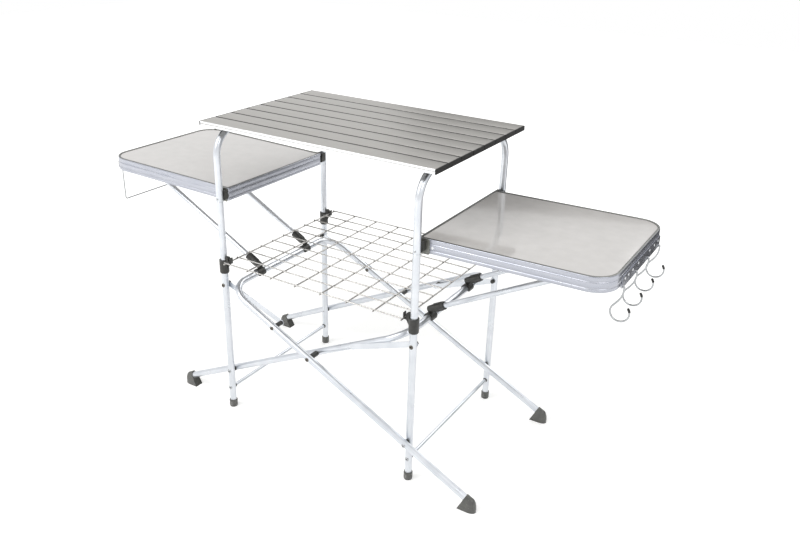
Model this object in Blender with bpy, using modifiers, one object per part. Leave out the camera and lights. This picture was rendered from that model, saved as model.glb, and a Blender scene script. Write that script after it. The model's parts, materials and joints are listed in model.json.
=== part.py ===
"""Folding camp grill table: slatted roll top, two side trays on struts, wire shelf, crossed folding frames.

X runs along the table, Y from front to back and Z up. The origin is on the floor under the centre.
The stand is the same after half a turn about Z, so most pieces are made for one end and turned for the other.
"""

import math

import bmesh
import bpy
from mathutils import Matrix, Vector
from mathutils.geometry import interpolate_bezier

# Stand
TOP_HEIGHT = 0.820
UPRIGHT_X = 0.291
UPRIGHT_Y = 0.220
TUBE_R = 0.009
FIT = 0.0003  # gap between pieces that touch
CROSS_GAP = 0.0025  # washer gap between an upright and the leg that crosses it
JOINT_Z = 0.617  # where the upper frames sit on the lower legs
SPIGOT_R = 0.0074
SPIGOT_LENGTH = 0.034
RAIL_Z = 0.063
RAIL_R = 0.005
CAP_R = 0.0115
CAP_HEIGHT = 0.022
CAP_FLOOR = 0.004
CAP_EDGE = 0.001

# Crossed frames
LOW_PIVOT_Z = 0.1165
CENTRE_PIVOT_Z = 0.2615
CROSS_TUBE_X = 0.2576
FOOT_END_X = 0.477
FRAME_BEND_R = 0.060
SHOE_HALF = 0.0125
SHOE_COVER = 0.017
SHOE_TOE_X = 0.493
SHOE_TOE_R = 0.004
SHOE_NOSE_R = 0.012
PIN_R = 0.003
PIN_HOLE_R = 0.0035
HEAD_R = 0.0055
HEAD_HEIGHT = 0.0018
WASHER_R = 0.0072

# Links
LINK_TOP_Z = 0.3827
LINK_LEG_X = 0.112
LINK_THICKNESS = 0.0017
LINK_HALF_WIDTH = 0.0075
KNOB_R = 0.006
KNOB_LENGTH = 0.007
SPACER_R = 0.006

# Upper frames and top
UPPER_BEND_R = 0.065
SLAT_COUNT = 8
SLAT_PITCH = 0.0572
SLAT_GAP = 0.0012
SLAT_THICKNESS = 0.012
SLAT_EDGE_R = 0.0015
TOP_LENGTH = 0.669
CLIP_SLATS = (1, 6)
CLIP_WIDTH = 0.018
CLIP_THICKNESS = 0.004
CLIP_DROP = 0.013
BUTTON_Z = 0.6245
BUTTON_R = 0.0028
BUTTON_HOLE_R = 0.0036
BUTTON_PROUD = 0.0016
BUTTON_TRAVEL = 0.002
BUTTON_POCKET = 0.0055

# Shelf
SHELF_Z = 0.454
SHELF_HALF_X = 0.2695
SHELF_HALF_Y = 0.244
SHELF_WIRE_R = 0.002
SHELF_CROSS_WIRES = 11
SHELF_LONG_WIRES = 8
SHELF_CLIP_LOW = 0.418
SHELF_CLIP_HIGH = 0.456
SHELF_CLIP_R = 0.0125
SHELF_CLIP_TIP = 0.466
SHELF_ARM_HALF = 0.005
SHELF_ARM_WALL = 0.0035

# Trays, in a frame at the middle of the inner lip: x out along the tray, z up from the lip
TRAY_INNER_X = 0.282
TRAY_LIP_Z = 0.6477
TRAY_TILT = math.radians(1.09)
TRAY_LENGTH = 0.4402
TRAY_HALF_WIDTH = 0.1974
TRAY_RIM_HEIGHT = 0.035
TRAY_OUTER_R = 0.055
TRAY_INNER_R = 0.004
RIM_WALL = 0.0026
RIM_LIP_WIDTH = 0.006
RIM_LIP_THICKNESS = 0.0012
RIM_LEDGE_WIDTH = 0.009
RIM_LEDGE_THICKNESS = 0.0014
RIM_GROOVES = (0.0105, 0.0255)
RIM_GROOVE_WIDTH = 0.002
RIM_GROOVE_DEPTH = 0.0009
PANEL_THICKNESS = 0.003
CORNER_PLATE_START = 0.005
CORNER_PLATE_LENGTH = 0.023
CORNER_PLATE_HEIGHT = 0.0375
CORNER_PLATE_THICKNESS = 0.0016
NOTCH_DEPTH_Z = 0.019
NOTCH_R = 0.008
RECEIVER_HALF_X = 0.0115
RECEIVER_LOW = 0.6185
RECEIVER_HIGH = 0.645
RECEIVER_NOTCH = 0.008
RECEIVER_WRAP = 0.004

# Struts
STRUT_R = 0.007
STRUT_SPACING = 0.200
STRUT_PIVOT_OUT = 0.3623
STRUT_PIVOT_DOWN = 0.0386
STRUT_RISE = 0.021
SOCKET_R = 0.0105
SOCKET_START = -0.006
SOCKET_LENGTH = 0.043
SOCKET_SEAT = 0.012
JAW_R = 0.0128
JAW_HALF_WIDTH = 0.013
JAW_TIP = 0.005
CLEVIS_THICKNESS = 0.002
CLEVIS_HALF_LENGTH = 0.009
CROSS_BAR_THICKNESS = 0.003

# Hook strip, hooks and towel bail
STRIP_THICKNESS = 0.0012
STRIP_START_Y = -0.128
STRIP_END_Y = 0.153
STRIP_TOP = 0.016
STRIP_RIVETS_Y = (0.136, 0.106, 0.069, -0.016, -0.057, -0.087, -0.110)
STRIP_RIVET_DOWN = 0.025
STRIP_RIVET_R = 0.003
HOOK_COUNT = 4
HOOK_FIRST_Y = -0.121
HOOK_PITCH = 0.089
HOOK_WIRE_R = 0.002
HOOK_BAR = 0.003
HOOK_BAR_DROP = 0.0068
HOOK_EYE_R = 0.00395
HOOK_HOLE_R = 0.0027
HOOK_RING_R = 0.0205
HOOK_RING_DROP = 0.0573
HOOK_RING_OUT = 0.002
HOOK_RING_START = 140
HOOK_RING_END = 400
HOOK_TIP_R = 0.0028
HOOK_TIP_LENGTH = 0.010
BAIL_OUT = 0.0042
BAIL_DROP = 0.0415
BAIL_BOTTOM_Z = 0.515
BAIL_HALF_WIDTH = 0.155
BAIL_WIRE_R = 0.00175
BAIL_BEND_R = 0.005
BAIL_END = 0.0015
EAR_THICKNESS = 0.0025
EAR_HALF = 0.005
EAR_HEIGHT = 0.016
EAR_ROOT = 0.0055

TUBE_SIDES = 12
SMALL_SIDES = 10
BEND_STEPS = 5
SMALL = 0.0004  # overlap of shapes that are joined into one piece

LEG_OFFSET = 2 * TUBE_R + CROSS_GAP
OUTER_LEG_Y = UPRIGHT_Y + LEG_OFFSET
INNER_LEG_Y = UPRIGHT_Y - LEG_OFFSET
LEG_SLOPE = (CENTRE_PIVOT_Z - LOW_PIVOT_Z) / UPRIGHT_X
CROSS_TUBE_Z = CENTRE_PIVOT_Z + LEG_SLOPE * CROSS_TUBE_X
SLAT_BOTTOM = TOP_HEIGHT - SLAT_THICKNESS
EAR_Y = BAIL_HALF_WIDTH + BAIL_BEND_R + FIT
UPPER_TUBE_Z = SLAT_BOTTOM - FIT - TUBE_R
LINK_PLANE_Y = UPRIGHT_Y - TUBE_R - FIT - LINK_THICKNESS / 2
HALF_TURN = Matrix.Rotation(math.pi, 4, "Z")
TRAY_FRAME = Matrix.Translation((TRAY_INNER_X, 0, TRAY_LIP_Z)) @ Matrix.Rotation(-TRAY_TILT, 4, "Y")
ENDS = {"left": HALF_TURN, "right": Matrix.Identity(4)}

for old in list(bpy.data.objects):
    bpy.data.objects.remove(old, do_unlink=True)

table = bpy.data.collections.new("grill_table")
bpy.context.scene.collection.children.link(table)


def material(name, colour, metallic, roughness):
    """A Principled material with a linear colour."""
    made = bpy.data.materials.new(name)
    made.use_nodes = True
    shader = made.node_tree.nodes["Principled BSDF"]
    shader.inputs["Base Color"].default_value = (*colour, 1)
    shader.inputs["Metallic"].default_value = metallic
    shader.inputs["Roughness"].default_value = roughness
    return made


ALUMINIUM = material("anodised aluminium", (0.60, 0.62, 0.66), 0.9, 0.35)
SLAT_METAL = material("brushed slat aluminium", (0.27, 0.27, 0.24), 0.7, 0.45)
PANEL = material("laminate panel", (0.60, 0.58, 0.56), 0.0, 0.25)
PLASTIC = material("charcoal plastic", (0.045, 0.045, 0.042), 0.0, 0.5)
RUBBER = material("grey rubber", (0.09, 0.09, 0.08), 0.0, 0.7)
WIRE = material("nickel wire", (0.50, 0.50, 0.50), 1.0, 0.3)
BRIGHT = material("bright steel", (0.72, 0.72, 0.72), 1.0, 0.2)


def new_object(name, mesh):
    """Put a mesh in the table's collection."""
    made = bpy.data.objects.new(name, mesh)
    table.objects.link(made)
    return made


def from_bmesh(name, bm):
    """An object of a bmesh, with its faces turned outwards."""
    bmesh.ops.recalc_face_normals(bm, faces=bm.faces)
    mesh = bpy.data.meshes.new(name)
    bm.to_mesh(mesh)
    bm.free()
    return new_object(name, mesh)


def bake(target):
    """Replace an object's mesh with the evaluated one and drop its modifiers."""
    graph = bpy.context.evaluated_depsgraph_get()
    mesh = bpy.data.meshes.new_from_object(target.evaluated_get(graph))
    target.modifiers.clear()
    target.data = mesh


def combine(target, others, operation, solver):
    """Apply one Boolean for each of the others, which are used up."""
    for other in others:
        modifier = target.modifiers.new(operation.lower(), "BOOLEAN")
        modifier.operation = operation
        modifier.solver = solver
        modifier.object = other
        bake(target)
        bpy.data.objects.remove(other, do_unlink=True)
    return target


def join(target, *others, solver="EXACT"):
    """Add others to target. The thin bands of a tray's rim need the MANIFOLD solver."""
    return combine(target, others, "UNION", solver)


def cut(target, *others, solver="EXACT"):
    """Take others away from target."""
    return combine(target, others, "DIFFERENCE", solver)


def bar(start, end, radius, end_radius=None, sides=SMALL_SIDES):
    """A round bar or a cone between two points."""
    start = Vector(start)
    end = Vector(end)
    axis = end - start
    place = Matrix.Translation((start + end) / 2) @ axis.to_track_quat("Z", "Y").to_matrix().to_4x4()
    bm = bmesh.new()
    bmesh.ops.create_cone(
        bm,
        cap_ends=True,
        segments=sides,
        radius1=radius,
        radius2=radius if end_radius is None else end_radius,
        depth=axis.length,
        matrix=place,
    )
    return from_bmesh("bar", bm)


def box(low, high):
    """A block between two opposite corners."""
    low = Vector(low)
    high = Vector(high)
    bm = bmesh.new()
    bmesh.ops.create_cube(bm, size=1, matrix=Matrix.Translation((low + high) / 2) @ Matrix.Diagonal((*(high - low), 1)))
    return from_bmesh("box", bm)


def curve_object(curve):
    """Turn a curve into a mesh object with its caps welded on."""
    made = bpy.data.objects.new("curve", curve)
    table.objects.link(made)
    graph = bpy.context.evaluated_depsgraph_get()
    mesh = bpy.data.meshes.new_from_object(made.evaluated_get(graph))
    bpy.data.objects.remove(made, do_unlink=True)
    bm = bmesh.new()
    bm.from_mesh(mesh)
    bmesh.ops.remove_doubles(bm, verts=bm.verts, dist=0.00001)
    return from_bmesh("curve", bm)


def wire(points, radius, resolution):
    """A round tube along points, with 4 + 2 * resolution sides."""
    curve = bpy.data.curves.new("wire", "CURVE")
    curve.dimensions = "3D"
    curve.bevel_depth = radius
    curve.bevel_resolution = resolution
    curve.use_fill_caps = True
    spline = curve.splines.new("POLY")
    spline.points.add(len(points) - 1)
    for spot, point in zip(spline.points, points):
        spot.co = (*point, 1)
    return curve_object(curve)


def sheet(outlines, thickness, place):
    """A flat piece of these closed outlines, inner ones as holes, with its mid-plane on the frame's XY plane."""
    curve = bpy.data.curves.new("sheet", "CURVE")
    curve.dimensions = "2D"
    curve.fill_mode = "BOTH"
    curve.extrude = thickness / 2
    for outline in outlines:
        spline = curve.splines.new("POLY")
        spline.points.add(len(outline) - 1)
        spline.use_cyclic_u = True
        for spot, point in zip(spline.points, outline):
            spot.co = (point[0], point[1], 0, 1)
    made = curve_object(curve)
    made.data.transform(place)
    return made


def turned(profile, sides=TUBE_SIDES):
    """A turned piece about Z from its (radius, height) profile, which runs from the top down its outer side."""
    mesh = bpy.data.meshes.new("profile")
    mesh.from_pydata([(r, 0, z) for r, z in profile], [(i, i + 1) for i in range(len(profile) - 1)], [])
    made = new_object("turned", mesh)
    screw = made.modifiers.new("screw", "SCREW")
    screw.steps = sides
    screw.render_steps = sides
    screw.use_merge_vertices = True
    screw.merge_threshold = 0.00001
    bake(made)
    bm = bmesh.new()
    bm.from_mesh(made.data)
    bmesh.ops.recalc_face_normals(bm, faces=bm.faces)
    bm.to_mesh(made.data)
    bm.free()
    return made


def moved(target, place):
    """Carry an object's mesh through a matrix."""
    target.data.transform(place)
    return target


def corner_arc(before, corner, after, radius, steps):
    """Points of the arc that rounds one corner of a path."""
    back = (before - corner).normalized()
    ahead = (after - corner).normalized()
    turn = math.pi - back.angle(ahead)
    centre = corner + (back + ahead).normalized() * radius / math.cos(turn / 2)
    spoke = corner + back * radius * math.tan(turn / 2) - centre
    axis = (-back).cross(ahead)
    return [centre + Matrix.Rotation(turn * i / steps, 3, axis) @ spoke for i in range(steps + 1)]


def bent(points, radius, steps=BEND_STEPS):
    """An open path with each inner corner rounded."""
    points = [Vector(point) for point in points]
    path = [points[0]]
    for before, corner, after in zip(points, points[1:], points[2:]):
        path += corner_arc(before, corner, after, radius, steps)
    return path + [points[-1]]


def tray_outline(inset):
    """The tray's outline, drawn in by inset: square-cut at the inner edge, well rounded at the outer one."""
    half = TRAY_HALF_WIDTH - inset
    corners = (
        (Vector((inset, -half, 0)), TRAY_INNER_R),
        (Vector((TRAY_LENGTH - inset, -half, 0)), TRAY_OUTER_R),
        (Vector((TRAY_LENGTH - inset, half, 0)), TRAY_OUTER_R),
        (Vector((inset, half, 0)), TRAY_INNER_R),
    )
    outline = []
    for i, (corner, radius) in enumerate(corners):
        before = corners[i - 1][0]
        after = corners[(i + 1) % len(corners)][0]
        steps = 6 if radius == TRAY_OUTER_R else 2
        outline += corner_arc(before, corner, after, max(radius - inset, 0.0006), steps)
    return outline


def tray_ring(outer, inner, top, bottom):
    """A band that follows the tray's edge between two insets and two depths below the lip."""
    place = Matrix.Translation((0, 0, -(top + bottom) / 2))
    return sheet([tray_outline(outer), tray_outline(inner)], bottom - top, place)


def finish(target, name, surface, pivot=(0, 0, 0)):
    """Name a piece, give it its material and smooth faces, and put its origin on its joint."""
    target.name = name
    target.data.name = name
    target.data.transform(Matrix.Translation(-Vector(pivot)))
    target.location = pivot
    target.data.materials.clear()
    target.data.materials.append(surface)
    target.data.shade_smooth()
    target.data.set_sharp_from_angle(angle=math.radians(40))
    return target


def bore_radius(radius, sides=TUBE_SIDES):
    """A many-sided bore that clears a round bar of this radius by the fit."""
    return (radius + FIT) / math.cos(math.pi / sides)


def head(x, y, z, side):
    """A domed rivet head that stands on the surface at y and points to side (-1 front, 1 back)."""
    return bar((x, y - side * HEAD_HEIGHT, z), (x, y + side * HEAD_HEIGHT, z), HEAD_R, HEAD_R * 0.6)


def make_leg_frame(end, turn):
    """Two lower legs and the bottom rail between them, with the bores for their pins and buttons."""
    legs = []
    for side in (-1, 1):
        y = side * UPRIGHT_Y
        leg = bar((UPRIGHT_X, y, CAP_FLOOR), (UPRIGHT_X, y, JOINT_Z), TUBE_R, sides=TUBE_SIDES)
        top = JOINT_Z + SPIGOT_LENGTH
        spigot = bar((UPRIGHT_X, y, JOINT_Z - 0.01), (UPRIGHT_X, y, top), SPIGOT_R, sides=TUBE_SIDES)
        join(leg, spigot)
        pocket_end = y + side * (SPIGOT_R - BUTTON_POCKET)
        outside = y + side * (TUBE_R + 0.01)
        cut(
            leg,
            bar((UPRIGHT_X, outside, BUTTON_Z), (UPRIGHT_X, pocket_end, BUTTON_Z), BUTTON_R + FIT),
            bar((UPRIGHT_X, y - 0.02, LOW_PIVOT_Z), (UPRIGHT_X, y + 0.02, LOW_PIVOT_Z), PIN_HOLE_R),
            bar((UPRIGHT_X, y - 0.02, LINK_TOP_Z), (UPRIGHT_X, y + 0.02, LINK_TOP_Z), PIN_HOLE_R),
        )
        legs.append(leg)
    rail = bar((UPRIGHT_X, -UPRIGHT_Y, RAIL_Z), (UPRIGHT_X, UPRIGHT_Y, RAIL_Z), RAIL_R, sides=SMALL_SIDES)
    frame = join(rail, *legs)
    pivot = (UPRIGHT_X, 0, LOW_PIVOT_Z)
    moved(frame, turn)
    finish(frame, f"{end}_leg_frame", ALUMINIUM, turn @ Vector(pivot))


def make_foot_caps(end, turn):
    """Rubber caps on the lower ends of two uprights."""
    bore = TUBE_R + FIT
    floor = CAP_FLOOR - FIT
    for side in (-1, 1):
        cap = turned(
            (
                (0, floor),
                (bore, floor),
                (bore, CAP_HEIGHT),
                (CAP_R, CAP_HEIGHT),
                (CAP_R, CAP_EDGE),
                (CAP_R - CAP_EDGE, 0),
                (0, 0),
            )
        )
        place = turn @ Vector((UPRIGHT_X, side * UPRIGHT_Y, 0))
        moved(cap, Matrix.Translation(place))
        finish(cap, f"{end}_foot_cap_{label_of(place.y)}", RUBBER)


def label_of(y):
    """The name of the side of the table that a piece is on."""
    return "front" if y < 0 else "back"


def leg_z(x):
    """Height of the crossed leg's axis whose foot is to the right."""
    return CENTRE_PIVOT_Z - LEG_SLOPE * x


def make_cross_frame(name, turn):
    """One bent tube: two legs and the tube across their upper ends, with its pins, washers and rivet heads."""
    near = -OUTER_LEG_Y
    far = INNER_LEG_Y
    ends = [(FOOT_END_X, leg_z(FOOT_END_X)), (-CROSS_TUBE_X, leg_z(-CROSS_TUBE_X))]
    route = [(ends[0][0], near, ends[0][1]), (ends[1][0], near, ends[1][1])]
    route += [(ends[1][0], far, ends[1][1]), (ends[0][0], far, ends[0][1])]
    frame = wire(bent(route, FRAME_BEND_R, BEND_STEPS + 1), TUBE_R, 4)
    bore = (0, far, CENTRE_PIVOT_Z)
    cut(frame, bar((bore[0], far - 0.02, bore[2]), (bore[0], far + 0.02, bore[2]), PIN_HOLE_R))
    near_in = near + TUBE_R
    far_out = far + TUBE_R
    upright_out = UPRIGHT_Y + TUBE_R
    upright_in = UPRIGHT_Y - TUBE_R
    link_front = -LINK_PLANE_Y - LINK_THICKNESS / 2 - FIT
    x = UPRIGHT_X
    z = leg_z(x)
    spacer_z = leg_z(-LINK_LEG_X)
    join(
        frame,
        bar((x, near, z), (x, -upright_in - SMALL, z), PIN_R),
        bar((x, near_in - TUBE_R / 2, z), (x, -upright_out - FIT, z), WASHER_R),
        head(x, near - TUBE_R, z, -1),
        bar((x, far, z), (x, upright_out + FIT + HEAD_HEIGHT / 2, z), PIN_R),
        bar((x, far_out - TUBE_R / 2, z), (x, upright_in - FIT, z), WASHER_R),
        bar((x, upright_out + FIT, z), (x, upright_out + FIT + HEAD_HEIGHT, z), HEAD_R, HEAD_R * 0.6),
        bar((0, near, CENTRE_PIVOT_Z), (0, -far + TUBE_R / 2, CENTRE_PIVOT_Z), PIN_R),
        bar((0, near_in - TUBE_R / 2, CENTRE_PIVOT_Z), (0, -far_out - FIT, CENTRE_PIVOT_Z), WASHER_R),
        head(0, near - TUBE_R, CENTRE_PIVOT_Z, -1),
        bar((-LINK_LEG_X, near_in - TUBE_R / 2, spacer_z), (-LINK_LEG_X, link_front, spacer_z), SPACER_R),
        head(-LINK_LEG_X, near - TUBE_R, spacer_z, -1),
        head(-LINK_LEG_X, far - TUBE_R, spacer_z, -1),
    )
    moved(frame, turn)
    pivot = Vector((0, 0, CENTRE_PIVOT_Z))
    if name == "cross_frame_b":
        pivot = Vector((-UPRIGHT_X, 0, LOW_PIVOT_Z))
    finish(frame, name, ALUMINIUM, pivot)


def make_shoes(name, turn):
    """Wedge shoes on the two floor ends of a crossed frame."""
    slope = math.atan(LEG_SLOPE)
    along = Vector((math.cos(slope), -math.sin(slope), 0))
    up = Vector((math.sin(slope), math.cos(slope), 0))
    end = Vector((FOOT_END_X, leg_z(FOOT_END_X), 0))
    back = end - along * SHOE_COVER
    top_back = back + up * SHOE_HALF
    heel = back - up * (back.y / up.y)
    toe = Vector((SHOE_TOE_X, 0, 0))
    nose = top_back + along * ((SHOE_TOE_X - top_back.x) / along.x)
    outline = [top_back, heel]
    outline += corner_arc(heel, toe, nose, SHOE_TOE_R, 2)
    outline += corner_arc(toe, nose, top_back, SHOE_NOSE_R, 4)
    for y in (-OUTER_LEG_Y, INNER_LEG_Y):
        place = Matrix.Translation((0, y, 0)) @ Matrix.Rotation(math.pi / 2, 4, "X")
        shoe = sheet([outline], 2 * SHOE_HALF, place)
        start = back - along * 0.01
        stop = end + along * FIT
        cut(shoe, bar((start.x, y, start.y), (stop.x, y, stop.y), bore_radius(TUBE_R), sides=TUBE_SIDES))
        spot = turn @ Vector((0, y, 0))
        moved(shoe, turn)
        finish(shoe, f"{name}_{label_of(spot.y)}", RUBBER)


def make_shelf_clips(end, turn):
    """Collars on the lower legs with an open hook for the shelf's edge wire."""
    for side in (-1, 1):
        y = side * UPRIGHT_Y
        x = UPRIGHT_X
        collar = bar((x, y, SHELF_CLIP_LOW), (x, y, SHELF_CLIP_HIGH), SHELF_CLIP_R, sides=TUBE_SIDES)
        slot = SHELF_WIRE_R + FIT
        inner = SHELF_HALF_X - slot - SHELF_ARM_WALL
        low = SHELF_Z - slot - SHELF_ARM_WALL
        arm = box((inner, y - SHELF_ARM_HALF, low), (x, y + SHELF_ARM_HALF, SHELF_CLIP_TIP))
        groove = box(
            (SHELF_HALF_X - slot, y - 0.02, SHELF_Z - slot),
            (SHELF_HALF_X + slot, y + 0.02, SHELF_CLIP_TIP + 0.01),
        )
        bore = bar((x, y, SHELF_CLIP_LOW - 0.01), (x, y, SHELF_CLIP_TIP + 0.01), bore_radius(TUBE_R), sides=TUBE_SIDES)
        cut(join(collar, arm), groove, bore)
        spot = turn @ Vector((x, y, 0))
        moved(collar, turn)
        finish(collar, f"{end}_shelf_clip_{label_of(spot.y)}", PLASTIC)


def make_link(name, corner, leg_x):
    """A flat link with its pin through the upright, a head outside and a knob inside."""
    x, side = corner
    plane = side * LINK_PLANE_Y
    top = Vector((x, LINK_TOP_Z))
    leg = Vector((leg_x, CENTRE_PIVOT_Z + LEG_SLOPE * abs(leg_x)))
    reach = (leg - top).length
    angle = math.atan2(leg.y - top.y, leg.x - top.x)
    outline = []
    for centre, first in ((0, math.pi / 2), (reach, -math.pi / 2)):
        for i in range(7):
            a = first + math.pi * i / 6
            outline.append((centre + LINK_HALF_WIDTH * math.cos(a), LINK_HALF_WIDTH * math.sin(a)))
    place = Matrix.Translation((x, plane, LINK_TOP_Z)) @ Matrix.Rotation(-angle, 4, "Y") @ Matrix.Rotation(math.pi / 2, 4, "X")
    link = sheet([outline], LINK_THICKNESS, place)
    out = side * (UPRIGHT_Y + TUBE_R + FIT)
    knob_start = plane - side * (LINK_THICKNESS / 2 - SMALL)
    join(
        link,
        bar((x, plane, LINK_TOP_Z), (x, out + side * SMALL, LINK_TOP_Z), PIN_R),
        bar((x, out, LINK_TOP_Z), (x, out + side * HEAD_HEIGHT, LINK_TOP_Z), HEAD_R, HEAD_R * 0.6),
        bar((x, knob_start, LINK_TOP_Z), (x, knob_start - side * KNOB_LENGTH, LINK_TOP_Z), KNOB_R, KNOB_R * 0.85),
    )
    finish(link, name, ALUMINIUM, (x, plane, LINK_TOP_Z))


def make_upper_frame(end, turn):
    """A bent tube that stands on two lower legs and runs under the slats."""
    x = UPRIGHT_X
    start = JOINT_Z + FIT
    route = [(x, -UPRIGHT_Y, start), (x, -UPRIGHT_Y, UPPER_TUBE_Z), (x, UPRIGHT_Y, UPPER_TUBE_Z), (x, UPRIGHT_Y, start)]
    frame = wire(bent(route, UPPER_BEND_R, BEND_STEPS + 1), TUBE_R, 4)
    for side in (-1, 1):
        y = side * UPRIGHT_Y
        top = JOINT_Z + SPIGOT_LENGTH + 0.002
        cut(
            frame,
            bar((x, y, JOINT_Z - 0.01), (x, y, top), bore_radius(SPIGOT_R), sides=TUBE_SIDES),
            bar((x, y, BUTTON_Z), (x, y + side * 0.02, BUTTON_Z), BUTTON_HOLE_R),
        )
    moved(frame, turn)
    finish(frame, f"{end}_upper_frame", ALUMINIUM)


def make_receivers(end, turn):
    """Blocks on the upper frame with a boss that the tray's corner plate hooks on."""
    boss = TRAY_FRAME @ Vector((CORNER_PLATE_START, 0, -NOTCH_DEPTH_Z))
    plate_y = TRAY_HALF_WIDTH + CORNER_PLATE_THICKNESS
    inner_y = plate_y + FIT
    outer_y = UPRIGHT_Y - TUBE_R + RECEIVER_WRAP
    x = UPRIGHT_X
    for side in (-1, 1):
        ys = sorted((side * inner_y, side * outer_y))
        block = box((x - RECEIVER_HALF_X, ys[0], RECEIVER_LOW), (x + RECEIVER_HALF_X, ys[1], RECEIVER_HIGH))
        notch = bar((x, -1, RECEIVER_HIGH), (x, 1, RECEIVER_HIGH), RECEIVER_NOTCH, sides=4)
        bore = bar((x, side * UPRIGHT_Y, 0.6), (x, side * UPRIGHT_Y, 0.66), bore_radius(TUBE_R), sides=TUBE_SIDES)
        cut(block, notch, bore)
        stop = side * (TRAY_HALF_WIDTH + FIT)
        join(block, bar((boss.x, side * (inner_y + 0.003), boss.z), (boss.x, stop, boss.z), NOTCH_R - FIT))
        spot = turn @ Vector((x, side, 0))
        moved(block, turn)
        finish(block, f"{end}_tray_receiver_{label_of(spot.y)}", PLASTIC)


def slat_edge(index):
    """Y of the line between two slats, counted from the front."""
    return (index - SLAT_COUNT / 2) * SLAT_PITCH


def make_slat(number):
    """One slat of the roll top, two of them with clips outside the upper frames."""
    front = slat_edge(number - 1) + SLAT_GAP / 2
    back = slat_edge(number) - SLAT_GAP / 2
    slat = box((-TOP_LENGTH / 2, front, SLAT_BOTTOM), (TOP_LENGTH / 2, back, TOP_HEIGHT))
    bevel = slat.modifiers.new("edges", "BEVEL")
    bevel.width = SLAT_EDGE_R
    bevel.segments = 2
    bake(slat)
    if number in CLIP_SLATS:
        middle = (front + back) / 2
        for side in (-1, 1):
            face = side * (UPRIGHT_X + TUBE_R + FIT)
            xs = sorted((face, face + side * CLIP_THICKNESS))
            low = (xs[0], middle - CLIP_WIDTH / 2, SLAT_BOTTOM - CLIP_DROP)
            join(slat, box(low, (xs[1], middle + CLIP_WIDTH / 2, SLAT_BOTTOM + 0.002)))
    finish(slat, f"slat_{number}", SLAT_METAL, (0, slat_edge(number - 1), TOP_HEIGHT))


def spread(count, half):
    """Evenly spaced places from -half to half."""
    return [half * (2 * i / (count - 1) - 1) for i in range(count)]


def make_shelf():
    """The welded wire grid, its wires drawn square and in one plane."""
    long_x = spread(SHELF_LONG_WIRES, SHELF_HALF_X)
    cross_y = spread(SHELF_CROSS_WIRES, SHELF_HALF_Y - 2 * SHELF_WIRE_R)
    half = SHELF_WIRE_R
    outlines = [rectangle(long_x[0] - half, cross_y[0] - half, long_x[-1] + half, cross_y[-1] + half)]
    for left, right in zip(long_x, long_x[1:]):
        for near, far in zip(cross_y, cross_y[1:]):
            outlines.append(rectangle(left + half, near + half, right - half, far - half))
    shelf = sheet(outlines, 2 * SHELF_WIRE_R, Matrix.Translation((0, 0, SHELF_Z)))
    finish(shelf, "wire_shelf", WIRE, (0, 0, SHELF_Z))


def rectangle(left, near, right, far):
    """The corners of a rectangle."""
    return [(left, near), (right, near), (right, far), (left, far)]


def clevis_plates(y):
    """Two plates on either side of a strut's upper end, bored for its pin."""
    plates = []
    for side in (-1, 1):
        near = y + side * (STRUT_R + 2 * FIT)
        far = near + side * CLEVIS_THICKNESS
        ys = sorted((near, far))
        low = (STRUT_PIVOT_OUT - CLEVIS_HALF_LENGTH + SMALL, ys[0], -STRUT_PIVOT_DOWN - CLEVIS_HALF_LENGTH)
        high = (STRUT_PIVOT_OUT + CLEVIS_HALF_LENGTH - SMALL, ys[1], -cross_bar_top() - CROSS_BAR_THICKNESS / 2)
        plates.append(box(low, high))
    return plates


def panel_top():
    """Depth of the panel's top below the lip."""
    return RIM_LIP_THICKNESS + FIT


def cross_bar_top():
    """Depth of the top of the bar and the ledge that carry the panel."""
    return panel_top() + PANEL_THICKNESS + FIT


def strut_offsets():
    """Y of the two struts under the right tray, each side of the middle of the tube that they rest on."""
    middle = LEG_OFFSET
    return (middle - STRUT_SPACING / 2, middle + STRUT_SPACING / 2)


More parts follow.
